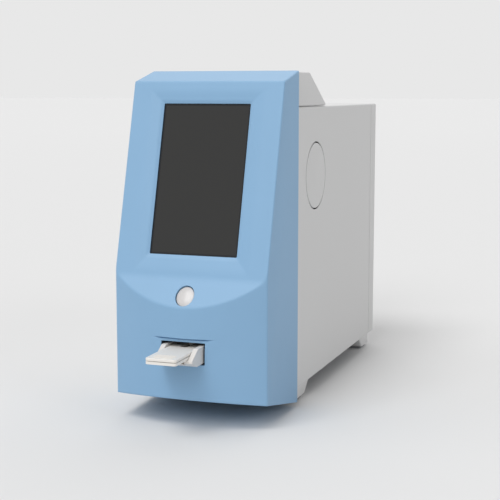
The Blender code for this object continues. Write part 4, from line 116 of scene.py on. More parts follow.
def add_node(tree, kind, settings=(), links=()):
    """Adds a node. Settings name its inputs or options, and links say what feeds an input."""
    node = tree.nodes.new(kind)
    for name, value in dict(settings).items():
        if name in node.inputs:
            node.inputs[name].default_value = value
        else:
            setattr(node, name, value)
    for name, source in dict(links).items():
        tree.links.new(source, node.inputs[name])
    return node


def new_finish(name):
    """An empty node material, its tree and the position on the object, in metres."""
    material = bpy.data.materials.new(name)
    material.use_nodes = True
    tree = material.node_tree
    tree.nodes.clear()
    place = add_node(tree, "ShaderNodeTexCoord").outputs["Object"]
    return material, tree, place


def show(tree, shader):
    add_node(tree, "ShaderNodeOutputMaterial", links={"Surface": shader})


print("Blue shell in linear light:", [round(c, 3) for c in linear("#84ACCE")[:3]])

# %% [markdown]
# ## The studio
# The photograph shows a pale sweep with no visible edge between floor and wall. A curved
# backdrop could be built. A wide floor under an even, pale world does the same with less: the
# lamps are sun lamps, so the floor is lit alike everywhere and meets the world at one level.
# Five lamps stand for the softboxes. The key hangs high and a little left of the front: it puts
# the soft shadow under the tray and the dark one under the bezel's lip. A wide one further left
# makes the bowed front fade to the right and draws the long faint shadow on the floor, one on the
# right keeps the flank even, one behind makes the top the palest face, and one in front fills.
# The camera, glass and metal see the sweep at its full level, while it lights the object less.

# %% Floor, world and lamps
SWEEP_LEVEL = "#E8E8E8"
ROOM_SHARE = 0.55
FLOOR_NEAR = "#E1E1E1"
FLOOR_FAR = "#E3E3E3"
FLOOR_HALF = 30.0
FADE_START = 0.3
FADE_END = 6.0
# A Mix node has sockets for each kind of value. These places are the ones for colours.
MIX_FIRST, MIX_SECOND, MIX_RESULT = 6, 7, 2
LAMPS = {
    # name: turn from the front towards the right, height above the floor, power, width
    "key_softbox": (-20, 60, 0.98, 25),
    "left_softbox": (-65, 38, 0.36, 60),
    "side_softbox": (70, 30, 0.24, 25),
    "back_softbox": (180, 50, 0.6, 60),
    "front_softbox": (0, 35, 0.58, 25),
}


def make_floor():
    material, tree, place = new_finish("studio_floor_paper")
    distance = add_node(
        tree, "ShaderNodeVectorMath", {"operation": "LENGTH"}, {"Vector": place}
    ).outputs["Value"]
    away = add_node(
        tree, "ShaderNodeMapRange",
        {"From Min": FADE_START, "From Max": FADE_END}, {"Value": distance},
    ).outputs["Result"]
    tone = add_node(tree, "ShaderNodeMix", {"data_type": "RGBA"}, {"Factor": away})
    tone.inputs[MIX_FIRST].default_value = linear(FLOOR_NEAR)
    tone.inputs[MIX_SECOND].default_value = linear(FLOOR_FAR)
    paper = add_node(tree, "ShaderNodeBsdfDiffuse", links={"Color": tone.outputs[MIX_RESULT]})
    show(tree, paper.outputs["BSDF"])
    mesh = bpy.data.meshes.new("studio_floor")
    corners = [(-1, -1), (1, -1), (1, 1), (-1, 1)]
    mesh.from_pydata([(x * FLOOR_HALF, y * FLOOR_HALF, 0) for x, y in corners], [], [(0, 1, 2, 3)])
    floor = bpy.data.objects.new("studio_floor", mesh)
    floor.data.materials.append(material)
    bpy.context.scene.collection.objects.link(floor)


def make_world():
    world = bpy.data.worlds.new("studio_sweep")
    bpy.context.scene.world = world
    world.use_nodes = True
    tree = world.node_tree
    tree.nodes.clear()
    ray = add_node(tree, "ShaderNodeLightPath").outputs
    seen = ray["Is Camera Ray"]
    for kind in ("Is Glossy Ray", "Is Transmission Ray"):
        seen = add_node(
            tree, "ShaderNodeMath", {"operation": "MAXIMUM"}, {0: seen, 1: ray[kind]}
        ).outputs["Value"]
    level = add_node(
        tree, "ShaderNodeMapRange", {"To Min": ROOM_SHARE, "To Max": 1.0}, {"Value": seen}
    ).outputs["Result"]
    sweep = add_node(
        tree, "ShaderNodeBackground", {"Color": linear(SWEEP_LEVEL)}, {"Strength": level}
    )
    add_node(tree, "ShaderNodeOutputWorld", links={"Surface": sweep.outputs["Background"]})


def add_sun(name, turn, height, power, width):
    """A sun lamp, placed by its angles and as wide as its softbox looks from the object."""
    data = bpy.data.lights.new(name, "SUN")
    data.energy = power
    data.angle = math.radians(width)
    lamp = bpy.data.objects.new(name, data)
    turn, height = math.radians(turn), math.radians(height)
    source = Vector((
        math.sin(turn) * math.cos(height), -math.cos(turn) * math.cos(height), math.sin(height)
    ))
    lamp.rotation_mode = "QUATERNION"
    lamp.rotation_quaternion = source.to_track_quat("Z", "Y")
    bpy.context.scene.collection.objects.link(lamp)


make_floor()
make_world()
for lamp_name, lamp_setting in LAMPS.items():
    add_sun(lamp_name, *lamp_setting)
bpy.context.scene.view_settings.view_transform = "Standard"
print("Studio: world", SWEEP_LEVEL, "floor", FLOOR_NEAR, "lamps", len(LAMPS))

# %% [markdown]
# ## Moulded plastic
# Every moulding takes the texture of its steel mould. A spark-eroded mould leaves pits of about
# 0.1 to 0.3 mm, so the plastic looks even and matt, and its highlights are broad. The grain is a
# noise bump at the size of the pits. A second, slow noise shifts the tone by a percent or two,
# as thick and thin places of a real moulding do.

# %% Moulded plastic
PLASTIC_IOR = 1.5
CLOUD_MM = 40
GLOSS_SWING = 0.05
PIT_STRENGTH = 0.35
COAT_ROUGHNESS = 0.08


def moulded_plastic(name, colour, roughness, grain_mm=0.3, depth_mm=0.012, mottle=0.03, coat=0.0):
    """Plastic with a grain of a real size and depth and a cloudy tone, clear-coated if polished."""
    material, tree, place = new_finish(name)
    grain = add_node(
        tree, "ShaderNodeTexNoise", {"Scale": 1 / (grain_mm * MM), "Detail": 3.0}, {"Vector": place}
    ).outputs["Fac"]
    cloud = add_node(
        tree, "ShaderNodeTexNoise", {"Scale": 1 / (CLOUD_MM * MM), "Detail": 2.0}, {"Vector": place}
    ).outputs["Fac"]
    tone = add_node(
        tree, "ShaderNodeMapRange", {"To Min": 1 - mottle, "To Max": 1 + mottle}, {"Value": cloud}
    ).outputs["Result"]
    shade = add_node(
        tree, "ShaderNodeHueSaturation", {"Color": linear(colour)}, {"Value": tone}
    ).outputs["Color"]
    matt = add_node(
        tree, "ShaderNodeMapRange",
        {"To Min": roughness - GLOSS_SWING, "To Max": roughness + GLOSS_SWING}, {"Value": grain},
    ).outputs["Result"]
    relief = add_node(
        tree, "ShaderNodeBump",
        {"Strength": PIT_STRENGTH, "Distance": depth_mm * MM}, {"Height": grain},
    ).outputs["Normal"]
    shader = add_node(
        tree, "ShaderNodeBsdfPrincipled",
        {"IOR": PLASTIC_IOR, "Coat Weight": coat, "Coat Roughness": COAT_ROUGHNESS},
        {"Base Color": shade, "Roughness": matt, "Normal": relief},
    )
    show(tree, shader.outputs["BSDF"])
    return material


finishes = {
    # ABS with a fine spark texture: even, matt, a little softer than paint
    "blue_shell": moulded_plastic("spark_textured_blue_abs", "#84ACCE", 0.48),
    "grey_moulding": moulded_plastic("spark_textured_grey_abs", "#D1D1D1", 0.52),
    # Polycarbonate blend, mass-coloured black
    "black_plastic": moulded_plastic("spark_textured_black_polycarbonate", "#1E1F22", 0.48),
    "panel_black": moulded_plastic("moulded_display_frame", "#1A1B1E", 0.4),
    # Polished mould: smooth, with a soft highlight on the crown
    "button_white": moulded_plastic(
        "polished_white_polycarbonate", "#C8C5C4", 0.3,
        grain_mm=0.6, depth_mm=0.002, mottle=0.01, coat=0.15,
    ),
    "tray_white": moulded_plastic(
        "satin_white_abs", "#DEDAD6", 0.42, grain_mm=0.25, depth_mm=0.008, mottle=0.015
    ),
    # Polystyrene cassette: a brighter, slightly warm white with a soft gloss
    "cassette_white": moulded_plastic(
        "satin_white_polystyrene", "#EBE7E1", 0.36, grain_mm=0.25, depth_mm=0.006, mottle=0.015
    ),
    # Acetal looks waxy and milky white
    "gear_plastic": moulded_plastic(
        "natural_acetal", "#D8D9D4", 0.35, grain_mm=0.4, depth_mm=0.004, mottle=0.02
    ),
    # The feet are moulded in a paler grey than the case
    "foot_moulding": moulded_plastic("spark_textured_pale_grey_abs", "#DCDCDC", 0.5),
    # The cable's wires lie 1.27 mm apart under its jacket
    "flat_cable": moulded_plastic(
        "grey_cable_jacket", "#B3B7BC", 0.5, grain_mm=1.27, depth_mm=0.05, mottle=0.02
    ),
    # Rubber scatters its light, so its highlight is broad and faint
    "rubber_dark": moulded_plastic(
        "nitrile_rubber", "#33343A", 0.75, grain_mm=0.2, depth_mm=0.015, mottle=0.04
    ),
    "pad_rubber": moulded_plastic(
        "grey_thermoplastic_rubber", "#8C8E90", 0.78, grain_mm=0.25, depth_mm=0.02, mottle=0.04
    ),
}
print("Plastic and rubber finishes:", len(finishes))

# %% [markdown]
# ## Powder coat on steel sheet
# The body is bent steel sheet with a baked powder coat. The powder melts into low waves of about
# 1 to 2 mm, which painters call orange peel, with a finer grit on top. Two noises at those sizes
# make the bump.

# %% Powder coat
POWDER_IOR = 1.5
POWDER_GLOSS_SWING = 0.06
POWDER_TONE_SWING = 0.015
POWDER_STRENGTH = 0.25
PEEL_DEPTH_MM = 0.03
GRIT_DEPTH_MM = 0.01


def powder_coat(name, colour, roughness, peel_mm=1.4, grit_mm=0.25):
    material, tree, place = new_finish(name)
    peel = add_node(
        tree, "ShaderNodeTexNoise", {"Scale": 1 / (peel_mm * MM), "Detail": 1.0}, {"Vector": place}
    ).outputs["Fac"]
    grit = add_node(
        tree, "ShaderNodeTexNoise", {"Scale": 1 / (grit_mm * MM), "Detail": 2.0}, {"Vector": place}
    ).outputs["Fac"]
    matt = add_node(
        tree, "ShaderNodeMapRange",
        {"To Min": roughness - POWDER_GLOSS_SWING, "To Max": roughness + POWDER_GLOSS_SWING},
        {"Value": grit},
    ).outputs["Result"]
    waves = add_node(
        tree, "ShaderNodeBump",
        {"Strength": POWDER_STRENGTH, "Distance": PEEL_DEPTH_MM * MM}, {"Height": peel},
    ).outputs["Normal"]
    relief = add_node(
        tree, "ShaderNodeBump",
        {"Strength": POWDER_STRENGTH, "Distance": GRIT_DEPTH_MM * MM},
        {"Height": grit, "Normal": waves},
    ).outputs["Normal"]
    tone = add_node(
        tree, "ShaderNodeMapRange",
        {"To Min": 1 - POWDER_TONE_SWING, "To Max": 1 + POWDER_TONE_SWING}, {"Value": grit},
    ).outputs["Result"]
    shade = add_node(
        tree, "ShaderNodeHueSaturation", {"Color": linear(colour)}, {"Value": tone}
    ).outputs["Color"]
    shader = add_node(
        tree, "ShaderNodeBsdfPrincipled", {"IOR": POWDER_IOR},
        {"Base Color": shade, "Roughness": matt, "Normal": relief},
    )
    show(tree, shader.outputs["BSDF"])
    return material


finishes["painted_case"] = powder_coat("light_grey_powder_coat", "#D1D1D1", 0.52)
print("Powder coat:", finishes["painted_case"].name)

# %% [markdown]
# ## Metal
# The inner frame is zinc-plated sheet, the sockets are nickel-plated, and the optical head is
# black anodised. Rolling and brushing leave fine lines along one direction, so the noise is
# stretched along that direction before it drives roughness and bump.

# %% Metal
METAL_CLOUD_MM = 12
METAL_TONE_SWING = 0.1
METAL_GLOSS_SWING = 0.08
LINE_STRENGTH = 0.2
LINE_DEPTH_MM = 0.005


def rolled_metal(name, colour, roughness, stretch, line_mm=0.2):
    """Stretch is how many times longer than wide the rolling lines are, along each axis."""
    material, tree, place = new_finish(name)
    drawn = add_node(
        tree, "ShaderNodeMapping", {"Scale": [1 / s for s in stretch]}, {"Vector": place}
    ).outputs["Vector"]
    lines = add_node(
        tree, "ShaderNodeTexNoise", {"Scale": 1 / (line_mm * MM), "Detail": 2.0}, {"Vector": drawn}
    ).outputs["Fac"]
    cloud = add_node(
        tree, "ShaderNodeTexNoise",
        {"Scale": 1 / (METAL_CLOUD_MM * MM), "Detail": 3.0}, {"Vector": place},
    ).outputs["Fac"]
    tone = add_node(
        tree, "ShaderNodeMapRange",
        {"To Min": 1 - METAL_TONE_SWING, "To Max": 1 + METAL_TONE_SWING}, {"Value": cloud},
    ).outputs["Result"]
    shade = add_node(
        tree, "ShaderNodeHueSaturation", {"Color": linear(colour)}, {"Value": tone}
    ).outputs["Color"]
    matt = add_node(
        tree, "ShaderNodeMapRange",
        {"To Min": roughness - METAL_GLOSS_SWING, "To Max": roughness + METAL_GLOSS_SWING},
        {"Value": lines},
    ).outputs["Result"]
    relief = add_node(
        tree, "ShaderNodeBump",
        {"Strength": LINE_STRENGTH, "Distance": LINE_DEPTH_MM * MM}, {"Height": lines},
    ).outputs["Normal"]
    shader = add_node(
        tree, "ShaderNodeBsdfPrincipled", {"Metallic": 1.0},
        {"Base Color": shade, "Roughness": matt, "Normal": relief},
    )
    show(tree, shader.outputs["BSDF"])
    return material


metals = {
    # Zinc on rolled sheet: dull, with lines along the sheet
    "zinc_steel": rolled_metal("zinc_plated_steel", "#A9AEB4", 0.42, (1, 20, 1)),
    "bright_steel": rolled_metal("nickel_plated_steel", "#B9BBBC", 0.3, (12, 1, 1)),
    # Blasted before it is anodised, so it shows no direction
    "dark_metal": rolled_metal("black_anodised_aluminium", "#4A4D52", 0.45, (1, 1, 1)),
    "head_black": rolled_metal("matt_black_anodised_aluminium", "#2A2C30", 0.55, (1, 1, 1)),
}
finishes.update(metals)
print("Metal finishes:", len(metals))

# %% [markdown]
# ## The screen
# Switched off, a bonded touch panel is a near-black picture area behind one sheet of glass. What
# the eye reads as dark grey is mostly the pale room reflected in the glass. Round the picture
# area the glass is darker: partly the black edge printed on the back of the glass, partly painted
# shade where the opening's walls shade the glass. The picture area inside it is a shade lighter.
# The border is drawn by the place on the screen's own slope.

# %% Cover glass
GLASS_TILT = math.radians(15.336)
GLASS_LOW, GLASS_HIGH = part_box("display_glass")
PICTURE_WIDTH = 63.4 * MM
PICTURE_HEIGHT = 106.4 * MM
PICTURE_OFF = "#242423"
# Partly print, partly painted shade: the dark edge stands for the printed border and the walls'
# shade.
BORDER_INK_AND_SHADE = "#0B0E14"
BORDER_SOFTNESS = 0.3 * MM
SMEAR_MM = 25
GLASS_IOR = 1.5
GLASS_GLOSS = (0.06, 0.12)


def cover_glass():
    material, tree, place = new_finish("black_bordered_cover_glass")
    middle = (GLASS_LOW + GLASS_HIGH) / 2
    level = add_node(
        tree, "ShaderNodeMapping",
        {"vector_type": "TEXTURE", "Location": middle, "Rotation": (-GLASS_TILT, 0, 0)},
        {"Vector": place},
    ).outputs["Vector"]
    across = add_node(tree, "ShaderNodeSeparateXYZ", links={"Vector": level})
    inside = []
    for axis, full in (("X", PICTURE_WIDTH), ("Z", PICTURE_HEIGHT)):
        reach = add_node(
            tree, "ShaderNodeMath", {"operation": "ABSOLUTE"}, {0: across.outputs[axis]}
        ).outputs["Value"]
        inside.append(add_node(
            tree, "ShaderNodeMapRange",
            {"From Min": full / 2 + BORDER_SOFTNESS, "From Max": full / 2 - BORDER_SOFTNESS},
            {"Value": reach},
        ).outputs["Result"])
    picture = add_node(
        tree, "ShaderNodeMath", {"operation": "MINIMUM"}, {0: inside[0], 1: inside[1]}
    ).outputs["Value"]
    # Painted shade mixed with print: the glass is darker outside the picture area.
    shade = add_node(tree, "ShaderNodeMix", {"data_type": "RGBA"}, {"Factor": picture})
    shade.inputs[MIX_FIRST].default_value = linear(BORDER_INK_AND_SHADE)
    shade.inputs[MIX_SECOND].default_value = linear(PICTURE_OFF)
    smear = add_node(
        tree, "ShaderNodeTexNoise", {"Scale": 1 / (SMEAR_MM * MM), "Detail": 4.0}, {"Vector": place}
    ).outputs["Fac"]
    gloss = add_node(
        tree, "ShaderNodeMapRange",
        {"To Min": GLASS_GLOSS[0], "To Max": GLASS_GLOSS[1]}, {"Value": smear},
    ).outputs["Result"]
    shader = add_node(
        tree, "ShaderNodeBsdfPrincipled", {"IOR": GLASS_IOR},
        {"Base Color": shade.outputs[MIX_RESULT], "Roughness": gloss},
    )
    show(tree, shader.outputs["BSDF"])
    return material


finishes["screen_glass"] = cover_glass()
print("Picture area in mm:", PICTURE_WIDTH / MM, PICTURE_HEIGHT / MM)

# %% [markdown]
# ## Paper, membrane and circuit board
# The paper roll shows its wound edge, the test strip is a porous membrane, and the boards carry
# a green lacquer over copper tracks. Paper and membrane are noises at fibre size. The tracks are
# a brick pattern of thin lines, 1.2 mm apart, seen as a slightly lighter green.

# %% Paper and circuit board
FIBRE_TONES = (0.96, 1.03)
FIBRE_STRENGTH = 0.3
FIBRE_DEPTH_MM = 0.02
PAPER_ROUGHNESS = 0.85
PAPER_IOR = 1.45
TRACK_PITCH_MM = 1.2
TRACK_SHARE = 0.12
TRACK_TURN = (0.0, 0.6, 0.8)
LACQUER_ROUGHNESS = 0.3
LACQUER_IOR = 1.5


def fibre_sheet(name, colour, fibre_mm):
    material, tree, place = new_finish(name)
    fibre = add_node(
        tree, "ShaderNodeTexNoise", {"Scale": 1 / (fibre_mm * MM), "Detail": 4.0}, {"Vector": place}
    ).outputs["Fac"]
    tone = add_node(
        tree, "ShaderNodeMapRange",
        {"To Min": FIBRE_TONES[0], "To Max": FIBRE_TONES[1]}, {"Value": fibre},
    ).outputs["Result"]
    shade = add_node(
        tree, "ShaderNodeHueSaturation", {"Color": linear(colour)}, {"Value": tone}
    ).outputs["Color"]
    relief = add_node(
        tree, "ShaderNodeBump",
        {"Strength": FIBRE_STRENGTH, "Distance": FIBRE_DEPTH_MM * MM}, {"Height": fibre},
    ).outputs["Normal"]
    shader = add_node(
        tree, "ShaderNodeBsdfPrincipled", {"Roughness": PAPER_ROUGHNESS, "IOR": PAPER_IOR},
        {"Base Color": shade, "Normal": relief},
    )
    show(tree, shader.outputs["BSDF"])
    return material


def circuit_lacquer(name):
    material, tree, place = new_finish(name)
    turned = add_node(
        tree, "ShaderNodeVectorRotate",
        {"rotation_type": "EULER_XYZ", "Rotation": TRACK_TURN}, {"Vector": place},
    ).outputs["Vector"]
    tracks = add_node(
        tree, "ShaderNodeTexBrick",
        {"Scale": 1 / (TRACK_PITCH_MM * MM), "Mortar Size": TRACK_SHARE,
         "Color1": linear("#1B5C3C"), "Color2": linear("#1F6B45"), "Mortar": linear("#3A8A5E")},
        {"Vector": turned},
    ).outputs["Color"]
    shader = add_node(
        tree, "ShaderNodeBsdfPrincipled",
        {"Roughness": LACQUER_ROUGHNESS, "IOR": LACQUER_IOR}, {"Base Color": tracks},
    )
    show(tree, shader.outputs["BSDF"])
    return material


finishes["paper"] = fibre_sheet("thermal_paper", "#F0EEE8", 0.3)
finishes["strip_paper"] = fibre_sheet("nitrocellulose_membrane", "#F2F0EA", 0.15)
finishes["circuit_board"] = circuit_lacquer("green_solder_lacquer")
print("All finishes:", len(finishes))

# %% [markdown]
# ## Dressing the CAD solids
# Each solid already names its material slot in the record, so a table from slot to finish dresses
# them all. The solids arrive as loose triangles. Welding their corners and splitting only the
# edges sharper than 30 degrees lets curved faces shade smoothly while flat faces stay crisp.
# Nothing real has a perfectly sharp edge: bent sheet has a bend radius, and a mould leaves one of
# a few tenths. On the pieces that show, the triangles are first joined back into flat faces, and
# a bevel of the real radius then rounds each edge, which is what makes seams catch light.

# %% Dress the solids
SHARP = math.radians(30)
FLAT = math.radians(0.5)
EDGE_STEPS = 3
WELD_REACH = 0.001 * MM
EDGE_RADII = {
    "body_cover": 0.35 * MM,
    "rear_cap": 0.4 * MM,
    "rocker": 0.3 * MM,
    "mains_inlet": 0.2 * MM,
    "network_port": 0.15 * MM,
    "usb_port_upper": 0.15 * MM,
    "usb_port_lower": 0.15 * MM,
    "serial_port": 0.2 * MM,
}


def shade_smooth(piece, edge_radius=0.0):
    mesh = piece.data
    if mesh.has_custom_normals:
        mesh.attributes.remove(mesh.attributes["custom_normal"])
    mesh.shade_smooth()
    weld = piece.modifiers.new("weld", "WELD")
    weld.merge_threshold = WELD_REACH
    if edge_radius:
        flat = piece.modifiers.new("flat_faces", "DECIMATE")
        flat.decimate_type = "DISSOLVE"
        flat.angle_limit = FLAT
        soft = piece.modifiers.new("soft_edges", "BEVEL")
        soft.width = edge_radius
        soft.segments = EDGE_STEPS
        soft.limit_method = "ANGLE"
        soft.angle_limit = SHARP
        piece.modifiers.new("even_shading", "WEIGHTED_NORMAL").keep_sharp = True
    else:
        split = piece.modifiers.new("sharp_edges", "EDGE_SPLIT")
        split.split_angle = SHARP


for name, node in nodes.items():
    slot = node.material_slots[0]
    slot.material = finishes[slot.material.name]
    shade_smooth(node, EDGE_RADII.get(name, 0.0))
print("Dressed solids:", len(nodes), "with soft edges:", len(EDGE_RADII))

# %% [markdown]
# ## The bezel as one soft moulding
# The real bezel is one injection moulding, so every edge where two faces meet is rounded and the
# dish round the screen runs out softly. The CAD solid has these forms with few flat faces. The
# same mould could be cut with booleans and bevelled, but long flat faces then shade unevenly.
# Here the moulding is drawn the way a hull is lofted: at each distance from the middle one
# section runs from the underside over the lip, up the bowed front, over the arch, the chin and
# the screen face to the top. Every section has the same rows, so rows follow the round edges.
#
# Two heights decide the front: the bow seen from above, and the lean seen from the side. The
# solid lies behind both, so its depth is the greater of the two, blended softly at the arch.

# %% The bezel's outlines
BEZEL_LOW, BEZEL_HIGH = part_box("front_bezel")
HALF_BEZEL = BEZEL_HIGH.x
BEZEL_FRONT = BEZEL_LOW.y
BEZEL_DEPTH = 83.4 * MM
BEZEL_REAR = BEZEL_FRONT + BEZEL_DEPTH
BOW = 15.0 * MM
BOW_RADIUS = (HALF_BEZEL ** 2 + BOW ** 2) / (2 * BOW)
ARCH_HEIGHT = 86.2 * MM
KNEE_HEIGHT = 104.57 * MM
KNEE_BEHIND_FACE = 13.73 * MM
KNEE_PLACE = BEZEL_FRONT + KNEE_BEHIND_FACE
BROW_HEIGHT = 241.2 * MM
BROW_BEHIND_FACE = 51.2 * MM
BROW_PLACE = BEZEL_FRONT + BROW_BEHIND_FACE
CHIN_TILT = math.atan2(KNEE_BEHIND_FACE, KNEE_HEIGHT - ARCH_HEIGHT)
SCREEN_TILT = math.atan2(BROW_PLACE - KNEE_PLACE, BROW_HEIGHT - KNEE_HEIGHT)
TOP_TILT = math.atan2(BEZEL_HIGH.z - BROW_HEIGHT, BEZEL_REAR - BROW_PLACE)
UNDER_TILT = math.radians(12)
KNEE_BLEND = 1.2 * MM
ARCH_BLEND = 1.0 * MM
SHELL_WALL = 2.5 * MM
SCREEN_WALL = 4.1 * MM


def soft_most(a, b, blend):
    """The greater of two values, with a round crossing that is as wide as the blend."""
    near = max(blend - abs(a - b), 0.0)
    return max(a, b) + near * near / (4 * blend)


def soft_least(a, b, blend):
    return -soft_most(-a, -b, blend)


def bow_place(x, wall=0.0):
    """Depth of the bowed front at a distance from the middle."""
    return BEZEL_FRONT + BOW_RADIUS - math.sqrt(BOW_RADIUS ** 2 - x ** 2) + wall


def lean_place(height, wall=0.0, screen_wall=0.0):
    """Depth of the chin and the screen face at a height, with the soft bend between them."""
    chin = KNEE_PLACE + (height - KNEE_HEIGHT) * math.tan(CHIN_TILT) + wall / math.cos(CHIN_TILT)
    screen = KNEE_PLACE + (height - KNEE_HEIGHT) * math.tan(SCREEN_TILT)
    return soft_least(chin, screen + screen_wall / math.cos(SCREEN_TILT), KNEE_BLEND)


tilts = [round(math.degrees(tilt), 1) for tilt in (CHIN_TILT, SCREEN_TILT, TOP_TILT)]
print("Tilts of the chin, the screen and the top:", tilts)

# %% [markdown]
# The dish round the screen is a soft funnel with a steeper rim near the glass. The scoop over
# the slot is a flat that starts under a ledge and fades out downwards. Directly under the ledge
# it is undercut, which is what draws the dark line that fades to both sides.

# %% Dish and scoop
OPENING_HALF = Vector((33.1 * MM, 54.69 * MM))
OPENING_ABOVE_KNEE = 16.6 * MM
OPENING_MIDDLE = OPENING_ABOVE_KNEE + OPENING_HALF.y
DISH_SIDE = 9.0 * MM
DISH_TOP = 8.3 * MM
DISH_BOTTOM = 10.8 * MM
DISH_DEPTH = 2.2 * MM
DISH_RIM_SHARE = 0.24
DISH_RIM_DEPTH = 1.0 * MM
DISH_CORNER_BLEND = 0.12
DISH_RIM_BLEND = 0.15 * MM
DISH_EDGE_BLEND = 0.5 * MM
LEDGE_HEIGHT = 64.7 * MM
SCOOP_DEPTH = 2.15 * MM
SCOOP_FADE = 25.0 * MM
SCOOP_BLEND = 0.25 * MM
UNDERCUT_DEPTH = 1.2 * MM
UNDERCUT_HEIGHT = 1.1 * MM


def up_screen(place, height):
    """Distance of a point up the screen's slope from the middle of the opening."""
    up, back = height - KNEE_HEIGHT, place - KNEE_PLACE
    return up * math.cos(SCREEN_TILT) + back * math.sin(SCREEN_TILT) - OPENING_MIDDLE


def dish_depth(x, up):
    """How deep the dish is at a place on the screen's slope, measured from the opening's middle."""
    end = DISH_TOP if up > 0 else DISH_BOTTOM
    aside = (abs(x) - OPENING_HALF.x) / DISH_SIDE
    above = (abs(up) - OPENING_HALF.y) / end
    share = max(soft_most(aside, above, DISH_CORNER_BLEND), 0.0)
    wide = (DISH_DEPTH - DISH_RIM_DEPTH) * (1 - share) / (1 - DISH_RIM_SHARE)
    rim = DISH_DEPTH - DISH_RIM_DEPTH * share / DISH_RIM_SHARE
    return soft_most(soft_most(wide, rim, DISH_RIM_BLEND), 0.0, DISH_EDGE_BLEND)


def scoop_place(x, height):
    """Depth of the front at a place, with the scoop and the undercut below the ledge."""
    bow = bow_place(x)
    below = LEDGE_HEIGHT - height
    if below < 0:
        return bow
    flat = BEZEL_FRONT + SCOOP_DEPTH * (1 - below / SCOOP_FADE)
    sunk = soft_most(flat, bow, SCOOP_BLEND)
    share = min(max((flat - bow) / (SCOOP_DEPTH / 2), 0.0), 1.0)
    if below < UNDERCUT_HEIGHT:
        sunk += UNDERCUT_DEPTH * share * math.cos(math.pi / 2 * below / UNDERCUT_HEIGHT)
    return sunk


print("Dish depth in mm at the glass:", round(dish_depth(OPENING_HALF.x, 0) / MM, 2))

# %% [markdown]
# A section is a list of points from the rear of the underside to the rear of the top. Rows are
# spread evenly between the places that must be met exactly: the lip, the slot, the ledge, the
# arch, the dish and the brow.

# %% Even steps and round corners
def spread(start, end, count):
    """Evenly spaced values after the start, up to and with the end."""
    return [start + (end - start) * (k + 1) / count for k in range(count)]


def climb(start, stops):
    """Values from the start past every stop, with the number of steps that each stop asks for."""
    values = []
    for stop, count in stops:
        values += spread(start, stop, count)
        start = stop
    return values


def round_corner(corner, before, after, radius, steps):
    """Points of the arc that rounds a corner between two unit directions, solid on the right."""
    turn = before.angle_signed(after)
    reach = radius * math.tan(abs(turn) / 2)
    start = corner - before * reach
    side = Vector((before.y, -before.x)) * radius
    points = []
    for k in range(steps + 1):
        points.append(start + side - Matrix.Rotation(-turn * k / steps, 2) @ side)
    return points


def arch_height(place):
    """Height at which the bowed front meets the leaning faces above it."""
    chin = ARCH_HEIGHT + (place - BEZEL_FRONT) / math.tan(CHIN_TILT)
    screen = KNEE_HEIGHT + (place - KNEE_PLACE) / math.tan(SCREEN_TILT)
    return max(chin, screen) if place > KNEE_PLACE else chin


print("Arch height in mm at the middle:", round(arch_height(BEZEL_FRONT) / MM, 1))

# %% One section through the bezel
LIP_RADIUS = 1.0 * MM
BROW_RADIUS = 1.6 * MM
INSIDE_RADIUS_SHARE = 0.2
UNDER_ROWS = 8
LIP_STEPS = 6
BROW_STEPS = 6
TOP_ROWS = 10
# Where rows have to lie, and how many rows lead up to each place
FRONT_STOPS = [  # below the slot, above the slot, then close steps up to the ledge
    (46.3 * MM, 12), (63.2 * MM, 12),
    (63.6 * MM, 1), (63.9 * MM, 1), (64.2 * MM, 1), (64.45 * MM, 1),
]
LEDGE_STEP = 0.02 * MM
ARCH_ZONE = 2.4 * MM
ARCH_ROWS = (14, 12)
DISH_STOP = (113.5 * MM, 24)  # on the dish's lower slope
SCREEN_STOPS = [  # the screen's lower edge, its upper edge, past the dish
    (121.0 * MM, 12), (226.0 * MM, 60), (234.6 * MM, 16),
]
BROW_ROWS = 6


